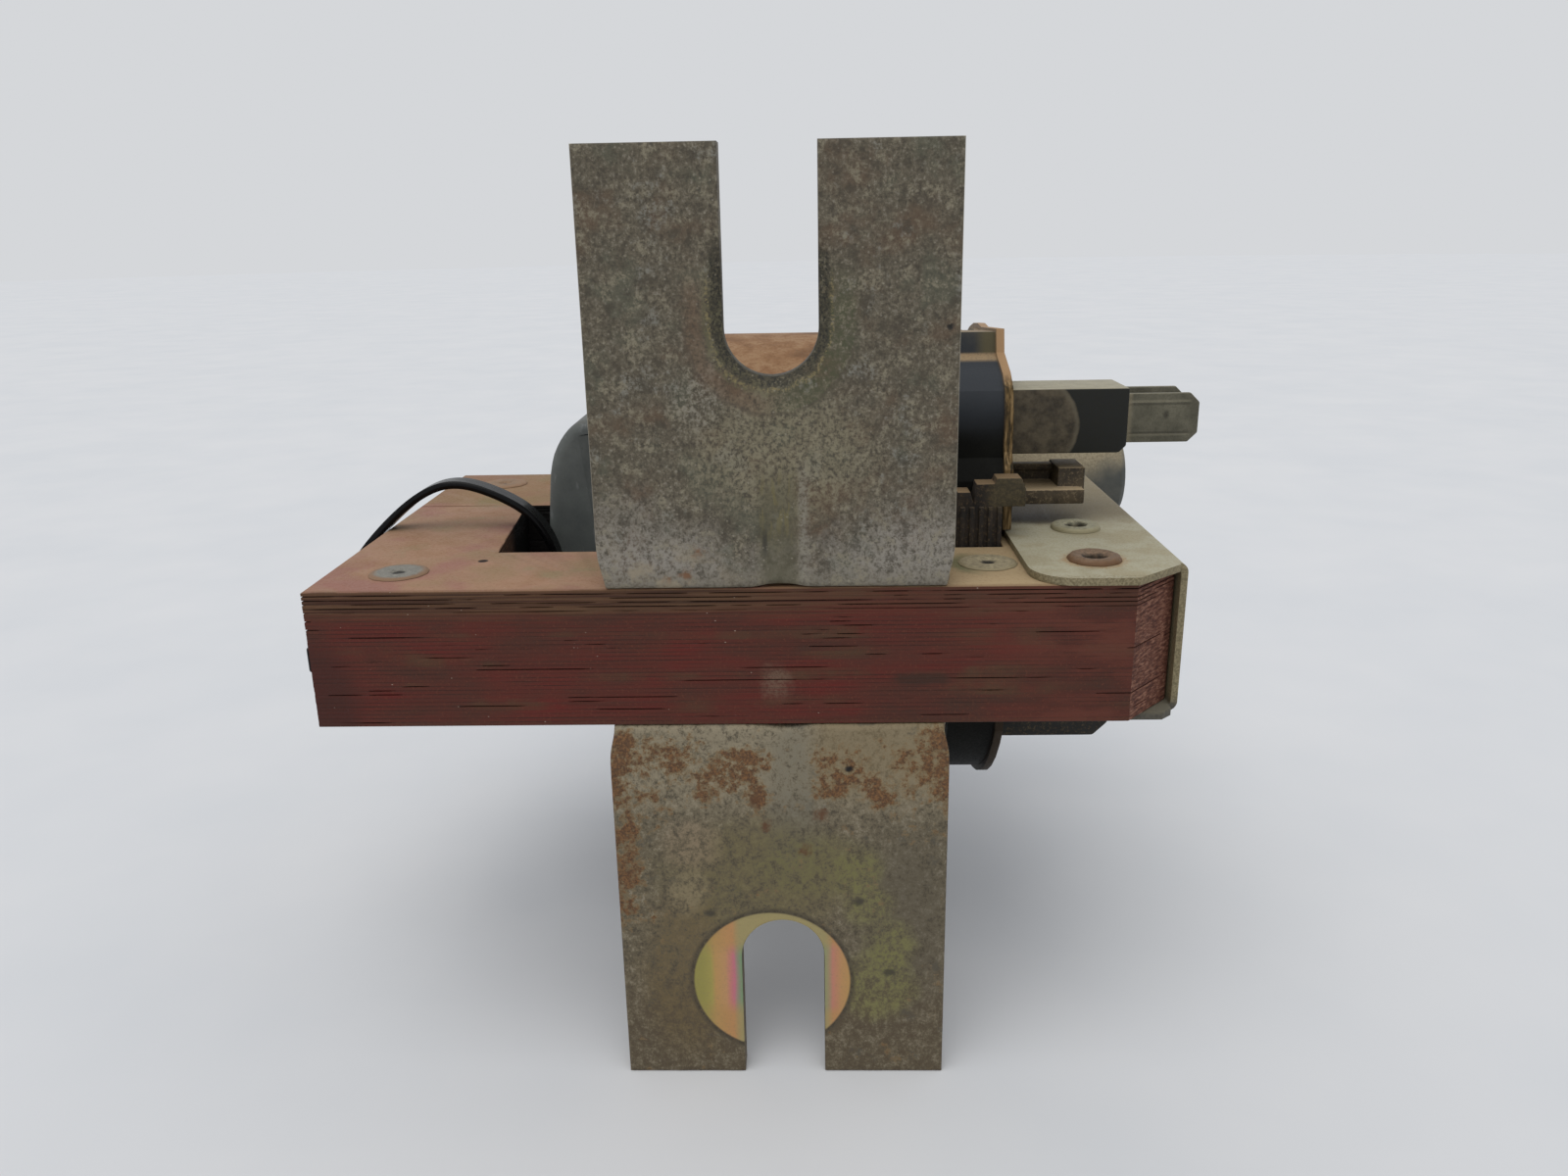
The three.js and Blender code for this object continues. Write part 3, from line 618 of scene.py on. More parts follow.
class Bracket:
    """An L-shaped plate with an open slot. u runs across it; s runs from the foot's end to the tip."""

    def __init__(self, node, facing, slot_end, wear, ring=None, pit=None):
        low, high = node_box(node)
        self.half = (high.x - low.x) / 2
        self.face, self.back = low.y, high.y
        self.base = low.z if facing > 0 else high.z
        self.facing = facing
        self.length = high.z - low.z
        self.run = self.back - self.face - OUTER_BEND
        self.tip = self.station(self.length)
        self.centre = self.station(slot_end + SLOT_RADIUS)
        self.wear = wear
        self.ring = ring
        self.pit = pit

    def station(self, height):
        return self.run + BEND_LENGTH - OUTER_BEND + height

    def section(self, s, depth):
        """Distance back from the face and height over the foot's underside."""
        share = depth / SHEET
        turn = (s - self.run) / OUTER_BEND
        if 0 <= turn <= math.pi / 2:
            outer = (OUTER_BEND * (1 - math.sin(turn)), OUTER_BEND * (1 - math.cos(turn)))
            reach = INNER_CORNER - SHEET
            inner = (INNER_CORNER - reach * math.sin(turn), INNER_CORNER - reach * math.cos(turn))
            return [a + (b - a) * share for a, b in zip(outer, inner)]
        away = -turn * OUTER_BEND if turn < 0 else turn * OUTER_BEND - BEND_LENGTH
        slide = share * (INNER_CORNER - OUTER_BEND) * max(0.0, 1 - away / 6)
        along = OUTER_BEND + away + slide
        return (along, depth) if turn < 0 else (depth, along)

    def crease(self, u, s):
        """How far the sheet is pressed towards the inside corner."""
        along = ease(abs(s - self.run - BEND_LENGTH / 2), CREASE_REACH, 1.0)
        width = 1.3 + 1.2 * along
        return CREASE_DEPTH * along * math.exp(-abs((u - CREASE_MIDDLE) / width) ** 3)

    def from_mark(self, u, s, mark):
        """Distance from a mark's middle, and the mark's radius."""
        x, height, radius = mark
        return math.hypot(u - x, s - self.station(height)), radius

    def hollow(self, u, s, depth):
        """How far the outer skin is sunk by wear, marks and corrosion."""
        rise = s - self.centre
        edge = (math.hypot(u, rise) if rise < 0 else abs(u)) - SLOT_RADIUS
        sunk = 0.0
        if self.wear:
            sunk += self.wear * (1 - ease(edge, -0.2, 1.6)) * (1 - ease(rise, 5, 11))
            print_edge = ease(math.hypot(u, rise), WASHER_RADIUS, WASHER_RADIUS + 0.5)
            sunk += WASHER_PRINT * (1 - print_edge) * (1 - ease(rise, 4, 8))
        if self.ring:
            away, radius = self.from_mark(u, s, self.ring)
            sunk += RING_DEPTH * (1 - ease(away, radius - 0.35, radius + 0.1))
        if self.pit:
            away, radius = self.from_mark(u, s, self.pit)
            sunk += PIT_DEPTH * (1 - ease(away, 0.0, radius))
        skin = 1 - depth / SHEET
        pitting = 0.02 * wobble(u, s, depth, 1.3, 3) + 0.03 * wobble(u, s, depth, 4.5, 5)
        return sunk * skin + pitting * (1 if depth < SHEET / 2 else -1)

    def point(self, u, s, depth):
        sunk = self.hollow(u, s, depth)
        y, height = self.section(s, depth + sunk)
        push = self.crease(u, s) / math.sqrt(2)
        drawn = 1 - BEND_DRAW * math.exp(-((s - self.run - BEND_LENGTH / 2) / BEND_DRAW_REACH) ** 2)
        return (u * drawn, self.face + y + push, self.base + self.facing * (height + push))

    def rows(self):
        """Stations with the slot's half-width and edge direction there, from the foot's end to the tip."""
        radius = SLOT_RADIUS + EDGE
        bend_end = self.run + BEND_LENGTH
        rows = [(s, 0.0, None) for s in spread(EDGE, self.run, 16)[:-1]]
        rows += [(s, 0.0, None) for s in spread(self.run, bend_end, 8)[:-1]]
        rows += [(s, 0.0, None) for s in spread(bend_end, self.centre - radius, 40, 1.25)[:-1]]
        arc = 30
        for k in range(arc + 1):
            angle = math.pi / 2 * (1 - k / arc)
            across, along = math.cos(angle), math.sin(angle)
            rows.append((self.centre - radius * along, radius * across * (k > 0), (-across, along)))
        rest = math.ceil((self.tip - EDGE - self.centre) / 0.6)
        rows += [(s, radius, (-1.0, 0.0)) for s in spread(self.centre, self.tip - EDGE, rest)[1:]]
        return rows

    def mesh(self):
        rows = self.rows()
        outer = self.half - EDGE
        fractions = spread(0.0, 1.0, COLUMNS, 1.35)
        grid, spots = {}, []
        for row, (s, gap, _) in enumerate(rows):
            for side in (-1, 1):
                for i, t in enumerate(fractions):
                    key = (side, row, i)
                    if gap == 0 and i == COLUMNS and side == 1:
                        grid[key] = grid[(-1, row, i)]
                        continue
                    grid[key] = len(spots)
                    spots.append((side * (outer - (outer - gap) * t), s))
        last = len(rows) - 1
        rim = self.rim(grid, rows, last)
        points = [self.point(u, s, depth) for depth in (0.0, SHEET) for u, s in spots]
        total = len(spots)
        faces = []
        for row in range(last):
            for side in (-1, 1):
                for i in range(COLUMNS):
                    quad = (grid[(side, row, i)], grid[(side, row, i + 1)],
                            grid[(side, row + 1, i + 1)], grid[(side, row + 1, i)])
                    faces.append(quad)
                    faces.append(tuple(total + k for k in reversed(quad)))
        soft = EDGE * (1 - math.sqrt(0.5))
        profile = [(soft, soft), (0.0, EDGE), (0.0, SHEET / 2), (0.0, SHEET - EDGE), (soft, SHEET - soft)]
        loops = [[index for index, _ in rim]]
        for inset, depth in profile:
            loop = []
            for index, (nu, ns) in rim:
                u, s = spots[index]
                loop.append(len(points))
                points.append(self.point(u + nu * (EDGE - inset), s + ns * (EDGE - inset), depth))
            loops.append(loop)
        loops.append([total + index for index, _ in rim])
        return mesh_of(points, faces + skin(loops))

    def rim(self, grid, rows, last):
        """The grid's boundary in order, each vertex with its outward direction in u and s."""
        columns = range(COLUMNS + 1)
        rim = [(grid[(-1, 0, i)], (-1.0 if i == 0 else 0.0, -1.0)) for i in columns]
        rim += [(grid[(1, 0, i)], (1.0 if i == 0 else 0.0, -1.0)) for i in reversed(columns[:-1])]
        rim += [(grid[(1, row, 0)], (1.0, 0.0)) for row in range(1, last)]
        corner = {0: 1.0, COLUMNS: -1.0}
        rim += [(grid[(1, last, i)], (corner.get(i, 0.0), 1.0)) for i in columns]
        slot = [row for row in range(1, last) if rows[row][2] is not None]
        rim += [(grid[(1, row, COLUMNS)], rows[row][2]) for row in reversed(slot)]
        rim += [(grid[(-1, row, COLUMNS)], (-rows[row][2][0], rows[row][2][1])) for row in slot[1:]]
        rim += [(grid[(-1, last, i)], (-corner.get(i, 0.0), 1.0)) for i in reversed(columns)]
        rim += [(grid[(-1, row, 0)], (-1.0, 0.0)) for row in range(last - 1, 0, -1)]
        return rim


def zinc_base(look, seed, tones, grain_size):
    """Weathered zinc. Gives the fine grain, the mixed grain, the soft blotches and the colour."""
    fine = look.noise(0.3, detail=5, roughness=0.75, seed=seed)
    grain = look.noise(grain_size, detail=7, roughness=0.72, stretch=(1.1, 1, 0.9), seed=seed + 1)
    broad = look.noise(6.5, detail=5, roughness=0.6, seed=seed + 2)
    mixed = grain * 0.6 + fine * 0.4
    stops = [(0.4, tones[0]), (0.47, tones[1]), (0.53, tones[2]), (0.6, tones[3])]
    return fine, mixed, broad, mixed.mottle(*stops)


def upper_bracket_look():
    look = Look("upper_bracket_zinc", Metallic=0.15)
    tones = ((62, 56, 44), (86, 78, 62), (101, 93, 77), (134, 127, 112))
    fine, grain, broad, base = zinc_base(look, 1, tones, 0.65)
    patch = look.noise(4.5, detail=6, roughness=0.65, seed=5)
    base.coat(broad.band(0.5, 0.68, 0.0, 0.6), (92, 70, 50))
    base.coat(broad.band(0.46, 0.34, 0.0, 0.45), (80, 84, 68))
    base.coat(patch.band(0.55, 0.66) * grain.band(0.45, 0.56), (126, 124, 114))
    base.coat(patch.band(0.42, 0.33, 0.0, 0.6), (66, 58, 46))
    upper_oxide(look, base, grain, patch)
    upper_slot_marks(look, base, fine, grain)
    upper_crease_shade_and_streaks(look, base, grain)
    upper_specks(look, base)
    worn = abs(look.x).band(19.65, 19.85) * look.forward.band(0.95, 0.6)
    base.coat(worn * 0.8, (168, 160, 142))
    rough = grain.band(0.42, 0.58, 0.5, 0.72)
    return look.done(base, rough, fine + grain * 1.5, depth=0.12, strength=0.7)


def upper_oxide(look, base, grain, patch):
    """Pale oxide that thickens towards the foot and under the slot."""
    level = look.z + patch * 14.0 + abs(look.x).band(14, 3, 0.0, 6.0)
    oxide = level.band(TOP + 20, TOP + 10) * grain.band(0.41, 0.55, 0.15, 0.95)
    base.coat(oxide, (146, 140, 130))
    base.coat(look.z.band(TOP + 3.5, TOP + 0.5, 0.0, 0.5), (112, 104, 88))
    patchy = look.noise(2.2, detail=6, roughness=0.72, seed=21)
    light = patchy.band(0.52, 0.61) * grain.band(0.44, 0.56, 0.05, 0.8)
    base.coat(light, (136, 128, 107))
    base.coat(patchy.band(0.46, 0.37, 0.0, 0.65), (64, 57, 44))
    under_slot = look.near((1, 0, TOP + 15), 4.0, 5.0, ragged=2.0, size=3, squash=(0.7, 0, 1))
    base.coat(under_slot * grain.band(0.44, 0.56, 0.05, 0.75), (134, 126, 101))
    pale = look.near((-8.0, 0, TOP + 21.4), 1.0, 3.2, ragged=2.0, size=2.5, squash=(1, 0, 0.8))
    base.coat(pale * grain.band(0.47, 0.58) * 0.8, (142, 136, 122))


def upper_slot_marks(look, base, fine, grain):
    """The print of a washer and the grime round the slot."""
    centre_height = TOP + UPPER_SLOT_END + SLOT_RADIUS
    distance = look.distance((0, 0, centre_height), (1, 0, 1))
    rise = look.z - centre_height
    straight = rise.band(-0.5, 0.5)
    reach = distance * (1.0 - straight) + abs(look.x) * straight
    reach += look.noise(1.8, detail=6, roughness=0.65, seed=8) * 1.6
    low_part = rise.band(8, 2)
    halo = reach.band(10.6, 9.2) * low_part
    warm = halo * look.x.band(2, -3) * reach.band(7.2, 8.6) * grain.band(0.4, 0.56, 0.2, 0.65)
    base.coat(warm * 0.75, (112, 86, 64))
    green = halo * look.x.band(-2, 4) * grain.band(0.4, 0.58, 0.75, 0.2)
    base.coat(green, (74, 78, 50))
    gold = reach.band(8.2, 7.6) * look.x.band(3, -3) * low_part * grain.band(0.42, 0.56)
    base.coat(gold * 0.7, (96, 92, 62))
    rim_line = reach.band(9.5, 9.8) * reach.band(10.2, 9.8) * rise.band(2, -3)
    base.coat(rim_line * 0.5, (74, 64, 52))
    edge_line = reach.band(7.0, 7.2) * reach.band(7.6, 7.3) * rise.band(7, 3)
    base.coat(edge_line * fine.band(0.48, 0.56, 0.0, 0.8), (138, 124, 84))
    grime = reach.band(7.4, 6.7) * rise.band(10.5, 6) * grain.band(0.6, 0.46, 0.35, 1.0)
    base.coat(grime, fine.mottle((0.4, (30, 29, 22)), (0.6, (76, 70, 52))))


def upper_crease_shade_and_streaks(look, base, grain):
    """Painted shade in the crease, a painted highlight on its right flank and a dark painted shade line down
    its left edge near the foot, with yellowish streaks.
    """
    crease = abs(look.x - CREASE_MIDDLE).band(3.0, 1.2) * look.z.band(TOP + 15, TOP + 10)
    # painted shade: the crease is coloured darker
    base.coat(crease * 0.6, (88, 84, 62))
    streak = look.noise(0.7, detail=4, stretch=(1, 1, 0.22), seed=9)
    yellow = crease * streak.band(0.52, 0.62) * look.z.band(TOP + 4, TOP + 9)
    base.coat(yellow * 0.55, (118, 108, 66))
    # painted highlight on the crease's right flank
    crease_flank_highlight = look.x.band(2.4, 3.0) * look.x.band(4.2, 3.2) * look.z.band(TOP + 16, TOP + 10)
    base.coat(crease_flank_highlight * grain.band(0.42, 0.56, 0.1, 0.7), (138, 133, 121))
    # painted shade: a dark line down the crease's left edge near its foot
    crease_edge_shade = (abs(look.x + 1.1).band(0.45, 0.1) * 0.7 * look.z.band(TOP + 7.5, TOP + 6)
            * look.z.band(TOP + 3, TOP + 5))
    base.coat(crease_edge_shade, (44, 42, 34))


def upper_specks(look, base):
    """Salt specks, three rust spots, a pit near the tip and oxide at the foot."""
    specks = look.cells(0.8, seed=4).band(0.2, 0.08)
    base.coat(specks * look.noise(3, seed=6).band(0.42, 0.55, 0.0, 0.4), (160, 152, 134))
    for x, height, radius in ((-8.5, 4.4, 0.35), (-10.0, 1.6, 0.55), (-12.1, 0.9, 0.3)):
        spot = look.near((x, 0, TOP + height), 0.05, radius + 0.5, ragged=1.2, size=0.7)
        base.coat(spot * 0.85, (116, 78, 48))
    pit = look.near((18.9, 0, TOP + 28.5), 0.15, 0.35, ragged=0.4, size=0.6)
    base.coat(pit, (30, 27, 22))
    oxide_low = (look.z.band(TOP + 7, TOP + 1) * look.x.band(-9, -3, 0.8, 0.0)
                 * look.noise(2.5, detail=5, seed=16).band(0.46, 0.6))
    base.coat(oxide_low, (150, 138, 116))


# The lower washer's print: how far across, how far below the core, and its radius.
RING = (-1.45, 34.8, 9.9)


def lower_bracket_look():
    look = Look("lower_bracket_zinc", Metallic=0.15)
    tones = ((70, 62, 46), (94, 84, 64), (109, 99, 78), (140, 130, 110))
    fine, grain, _, base = zinc_base(look, 11, tones, 0.85)
    patch = look.noise(3.5, detail=6, roughness=0.65, seed=15)
    height = look.z + (patch - 0.5) * 9.0
    base.coat(height.band(BOTTOM - 15, BOTTOM - 6) * grain.band(0.38, 0.56, 0.1, 0.85), (146, 135, 112))
    base.coat(height.band(BOTTOM - 12, BOTTOM - 5) * look.x.band(2, 6, 0.0, 0.5), (124, 106, 72))
    low_zone = height.band(BOTTOM - 30, BOTTOM - 40) * grain.band(0.56, 0.4, 0.25, 0.85)
    base.coat(low_zone, (84, 70, 50))
    base.coat(patch.band(0.42, 0.33, 0.0, 0.55), (78, 74, 64))
    lower_stains(look, base, grain)
    amount = lower_rust(look, base, fine)
    clean = lower_washer_ring(look, base, fine, grain)
    rough = look.blend(clean, grain.band(0.42, 0.58, 0.52, 0.74), (0.4, 0.4, 0.4, 1.0))
    height_map = (fine + amount.band(0.54, 0.66) * 1.0) * clean.band(0.0, 1.0, 1.0, 0.1)
    return look.done(base, rough, height_map, depth=0.12, strength=0.7)


def lower_stains(look, base, grain):
    """Soft patches of oxide, and small dark marks."""
    even, olive = (1, 0, 1), (124, 121, 69)
    stains = (
        (1.5, 9, 1.4, 3.5, 0.6, (112, 108, 94), (1, 0, 0.35)),
        (-3, 20, 6, 6, 0.7, (108, 98, 60), (0.8, 0, 1.2)),
        (-12, 34, 4, 5, 0.7, (104, 86, 50), (1.2, 0, 0.6)),
        (-11, 15.7, 1.8, 3.0, 0.7, (142, 124, 100), even),
        (-11.4, 22, 1.2, 2.6, 0.6, (144, 130, 102), even),
        (15, 26, 3, 6, 0.5, (80, 74, 62), (1, 0, 0.5)),
        (9.2, 19.4, 1.6, 2.2, 0.75, olive, even),
        (10.6, 24, 1.6, 2.6, 0.75, olive, even),
        (13.4, 29.5, 1.6, 2.6, 0.75, olive, even),
        (11.6, 35.5, 3.4, 3, 0.75, olive, even),
        (4.5, 18.5, 3, 4, 0.5, (112, 108, 66), (0.7, 0, 1.3)),
    )
    for x, drop, radius, soft, strength, colour, squash in stains:
        stain = look.near((x, 0, BOTTOM - drop), radius, soft, ragged=1.5, size=2.5, squash=squash)
        start, end = (0.45, 0.58) if colour == olive else (0.44, 0.56)
        base.coat(stain * grain.band(start, end, 0.15, 1.0) * strength, colour)
    for x, drop in ((9.4, 23.5), (13.2, 33.6), (-8.9, 25)):
        mark = look.near((x, 0, BOTTOM - drop), 0.2, 0.6, ragged=0.5, size=0.8, squash=(0.7, 0, 1))
        base.coat(mark * 0.8, (56, 52, 42))


def lower_rust(look, base, fine):
    """Rust under the bend and along both edges. Gives how much there is."""
    cluster = look.noise(3.4, detail=3, seed=17)
    speck = look.noise(0.9, detail=6, roughness=0.72, seed=18)
    amount = cluster * 0.6 + speck * 0.55
    beside = abs(look.x - 1.0)
    top_band = (look.z.band(BOTTOM - 14, BOTTOM - 9) * look.z.band(BOTTOM + 0.5, BOTTOM - 5)
                * beside.band(0.5, 4.5))
    left_edge = (look.x.band(-15.0, -18.5) * look.z.band(BOTTOM - 29, BOTTOM - 25)
                 * look.z.band(BOTTOM + 1, BOTTOM - 2))
    right_edge = look.x.band(15.5, 19) * look.z.band(BOTTOM - 22, BOTTOM - 12)
    where = look.either(top_band, left_edge * 1.35, right_edge)
    amount += (where - 1.0) * 0.16
    base.coat(amount.band(0.51, 0.59, 0.0, 0.75), (134, 111, 76))
    rust = fine.mottle((0.4, (72, 46, 26)), (0.5, (98, 65, 36)), (0.6, (130, 92, 54)))
    base.coat(amount.band(0.555, 0.63, 0.0, 0.92), rust)
    for x, drop in ((-2.9, 9.7), (-1.9, 13), (4.9, 11.8), (3, 16.4)):
        mark = look.near((x, 0, BOTTOM - drop), 0.05, 1.1, ragged=1.4, size=0.8)
        base.coat(mark * 0.9, (92, 60, 34))
    return amount


def lower_washer_ring(look, base, fine, grain):
    """The bright disc that a washer kept clean, with tarnish colours. Gives where it is."""
    x, drop, radius = RING
    distance = look.distance((x, 0, BOTTOM - drop), (1, 0, 1))
    front = look.forward.band(0.4, 0.7)
    clean = distance.band(radius, radius - 0.3) * front
    lip = distance.band(radius - 0.3, radius) * distance.band(radius + 0.8, radius + 0.1) * front
    base.coat(lip * grain.band(0.4, 0.55), (68, 60, 46))
    film = (abs(look.x) + look.noise(4, seed=19, stretch=(1, 1, 0.3)) * 0.9).band(5.5, 11.6)
    shine = film.mottle((0.0, (118, 150, 112)), (0.04, (150, 136, 120)), (0.09, (196, 112, 128)),
                        (0.17, (196, 126, 112)), (0.28, (192, 144, 98)), (0.6, (186, 146, 86)),
                        (0.74, (164, 152, 78)), (0.95, (150, 142, 72)))
    ends = look.either(look.z.band(BOTTOM - 31.5, BOTTOM - 29), look.z.band(BOTTOM - 37, BOTTOM - 40),
                       look.x.band(2, 5, 0.0, 0.55))
    plain = film.mottle((0.0, (160, 146, 98)), (0.1, (188, 138, 88)), (0.6, (180, 142, 84)),
                        (0.9, (156, 142, 76)))
    shine.coat(ends, plain)
    shine.coat(fine.band(0.5, 0.66, 0.0, 0.3), (132, 118, 84))
    base.coat(clean * 0.92, shine)
    pit = look.near((8.2, 0, BOTTOM - 5.7), 0.2, 0.35, ragged=0.2, size=0.6, squash=(0.8, 0, 1))
    base.coat(pit * front, (26, 22, 18))
    return clean


def add_brackets():
    upper = Bracket("upper_bracket", 1, UPPER_SLOT_END, wear=0.9, pit=(18.9, 28.5, 0.45))
    place("upper_bracket", "plate", upper.mesh(), upper_bracket_look())
    lower = Bracket("lower_bracket", -1, LOWER_SLOT_END, wear=0.0, ring=RING, pit=(8.2, 5.7, 0.55))
    place("lower_bracket", "plate", lower.mesh(), lower_bracket_look())


# ------------------------------------------------------------------ fasteners and strap


def fastener_look(name, centre, metal, fringe, reach, shaded_dimple, seed):
    """Worn steel with a rusty or dusty fringe from reach outwards, and painted shade in the middle over the
    dimple or the bore.
    """
    look = Look(name, Metallic=0.2, Specular_IOR_Level=0.35)
    fine = look.noise(0.35, detail=6, roughness=0.7, seed=seed)
    distance = look.distance((centre.x, centre.y, 0), (1, 1, 0)) + look.noise(1.0, seed=seed + 1) * 0.9
    light = linear(metal, 1.35)
    dark = linear(metal, 0.65)
    blotch = look.noise(0.9, detail=5, roughness=0.7, seed=seed + 2)
    colour = fine.mottle((0.36, dark), (0.5, metal), (0.64, light))
    colour.coat(blotch.band(0.5, 0.64, 0.0, 0.6), dark)
    colour.coat(distance.band(reach + 0.2, reach + 1.0, 0.0, 0.85), fringe)
    # painted shade: the dimple or the eyelet's bore is coloured dark
    colour.coat(distance.band(shaded_dimple + 0.9, shaded_dimple + 0.4), (48, 45, 40))
    return look.done(colour, fine.band(0.35, 0.65, 0.5, 0.75), fine, depth=0.1, strength=0.7)


def middle_of(node):
    low, high = node_box(node)
    return (low + high) / 2, low, high


def add_core_rivets():
    tones = [
        ((130, 127, 118), (138, 104, 74), 2.7, 0.6),
        ((158, 146, 118), (144, 132, 102), 3.0, 0.6),
        ((146, 118, 92), (150, 118, 90), 2.4, 0.0),
    ]
    for i, (metal, fringe, reach, shaded_dimple) in enumerate(tones, start=1):
        centre, low, high = middle_of(f"core_rivet_{i}")
        head = (high.x - low.x) / 2
        dip = min(0.5, high.z - TOP - 0.04)
        half = fillet([
            (2.3, high.z - 0.27), (head, high.z - 0.26), (head - 0.4, high.z - 0.05), (1.9, high.z),
            (1.1, high.z - 0.05), (0.8, high.z - dip), (0, high.z - dip),
        ], 0.15)
        profile = [(r, low.z + high.z - z) for r, z in reversed(half)] + [(r, z) for r, z in half]
        material = fastener_look(f"rivet_steel_{i}", centre, metal, fringe, reach, shaded_dimple, 20 + i)
        mesh = lathe(profile, (centre.x, centre.y, 0), "Z", 48, 0.1, 0.8)
        place(f"core_rivet_{i}", "head", mesh, material, sharp=50)


def add_strap_eyelets():
    """Rolled ends: the first is full and rusty, the others are flattened."""
    bore, shank, rise = 1.25, 2.2, 0.76
    for i in (1, 2, 3):
        centre, low, high = middle_of(f"strap_eyelet_{i}")
        head = (high.x - low.x) / 2
        if i == 1:
            inner, outer, full, rough = 1.2, 0.8, 0.85, 0.14
            metal, fringe = (126, 104, 84), (110, 80, 54)
        else:
            inner, outer, full, rough = 0.45, 0.35, 0.7, 0.05
            metal, fringe = (158, 153, 128), (150, 142, 112)
        half = [(shank, high.z - rise), (head, high.z - rise)]
        half += [(head - outer + outer * math.cos(t), high.z - rise + rise * full * math.sin(t))
                 for t in spread(0.12, math.pi / 2, 6)]
        half += [(bore + inner - inner * math.sin(t), high.z - rise + rise * full * math.cos(t))
                 for t in spread(0.0, math.pi / 2, 6)]
        mirrored = [(r, low.z + high.z - z) for r, z in reversed(half)]
        material = fastener_look(f"eyelet_steel_{i}", centre, metal, fringe, 2.6, 1.15, 30 + i)
        mesh = lathe(mirrored + half + mirrored[:1], (centre.x, centre.y, 0), "Z", 48, rough, 0.6)
        place(f"strap_eyelet_{i}", "roll", mesh, material, sharp=50)


def add_bracket_rivets():
    shank, rise = 2.3, 1.55
    for i in (1, 2):
        centre, low, high = middle_of(f"bracket_rivet_{i}")
        head = (high.x - low.x) / 2
        turns = [math.pi / 2 * k / 8 for k in range(9)]
        dome = [(head * math.sin(turn), rise * math.cos(turn)) for turn in turns]
        profile = [(r, low.z + rise - h) for r, h in dome]
        profile += [(shank, low.z + rise + 0.01), (shank, high.z - rise - 0.01)]
        profile += [(r, high.z - rise + h) for r, h in reversed(dome)]
        material = fastener_look(f"dome_steel_{i}", centre, (118, 112, 98), (122, 88, 60), 2.8, -1.0, 40 + i)
        mesh = lathe(profile, (centre.x, centre.y, 0), "Z", 40, 0.08, 1.0)
        place(f"bracket_rivet_{i}", "dome", mesh, material, sharp=50)


def strap_look():
    look = Look("strap_galvanised", Specular_IOR_Level=0.35)
    fine = look.noise(0.3, detail=6, roughness=0.7, seed=31)
    broad = look.noise(6, detail=5, roughness=0.6, seed=32)
    colour = broad.mottle((0.36, (158, 150, 124)), (0.5, (170, 165, 142)), (0.64, (160, 151, 124)))
    colour.coat(fine.band(0.5, 0.64, 0.0, 0.4), (138, 128, 100))
    halo = look.near((37.2, FRONT + 7, TOP + 1), 3.0, 1.5, ragged=0.9, size=1.5)
    colour.coat(halo * fine.band(0.4, 0.58, 0.3, 0.85), (156, 120, 78))
    rim = look.y.band(FRONT + 0.9, FRONT + 0.1) * fine.band(0.46, 0.58, 0.1, 0.7)
    colour.coat(rim, (132, 120, 92))
    edge = look.up.band(0.75, 0.35)
    colour.coat(edge, fine.mottle((0.4, (104, 94, 68)), (0.6, (142, 131, 102))))
    # painted shade towards the back of the strap's top, darkest as a painted shadow under the ledge
    inward = look.y + broad * 5.0
    colour.coat(inward.band(FRONT + 24, FRONT + 33, 0.0, 0.8), (126, 112, 84))
    ledge_shadow = look.x.band(41, 35) * inward.band(FRONT + 26, FRONT + 29)
    colour.coat(ledge_shadow * 0.8, (72, 62, 46))
    # painted shade on the strap's lower leg, under the core
    low = look.z.band(BOTTOM + 1, BOTTOM - 0.5)
    colour.coat(low, fine.mottle((0.4, (66, 63, 55)), (0.6, (88, 84, 74))))
    rough = fine.band(0.35, 0.65, 0.55, 0.75)
    return look.done(colour, rough, fine, depth=0.06, strength=0.6)


def add_strap():
    place("end_strap", "sheet", refined("end_strap", 0.16), strap_look())


# ------------------------------------------------------------------ coil


def case_look():
    look = Look("case_dust")
    fine = look.noise(0.4, detail=5, roughness=0.65, seed=41)
    broad = look.noise(5, detail=4, roughness=0.6, seed=42)
    dust = broad.mottle((0.34, (112, 78, 46)), (0.47, (136, 98, 62)), (0.58, (153, 119, 84)),
                        (0.68, (132, 93, 58)))
    dust.coat(fine.band(0.5, 0.66, 0.0, 0.45), (116, 82, 54))
    plastic = fine.mottle((0.3, (44, 42, 42)), (0.7, (62, 58, 54)))
    level = look.up + broad * 0.8
    colour = look.blend(level.band(0.35, 1.1), plastic, dust)
    rough = fine.band(0.3, 0.7, 0.6, 0.85)
    return look.done(colour, rough, fine, depth=0.05, strength=0.4)


def dull_plastic_look(name, dark, light, dust, amount, seed):
    look = Look(name)
    fine = look.noise(0.35, detail=5, roughness=0.6, seed=seed)
    broad = look.noise(4, detail=4, seed=seed + 1)
    colour = broad.mottle((0.3, dark), (0.7, light))
    settled = look.up * 0.7 + broad * 0.6
    settled = settled.band(0.55, 1.0) * fine.band(0.3, 0.6)
    colour.coat(settled * amount, dust)
    scuff = look.noise(1.3, detail=6, stretch=(1, 1, 0.4), seed=seed + 2).band(0.6, 0.7) * 0.5
    colour.coat(scuff, (120, 122, 122))
    rough = fine.band(0.3, 0.7, 0.5, 0.72)
    return look.done(colour, rough, fine, depth=0.03, strength=0.5)


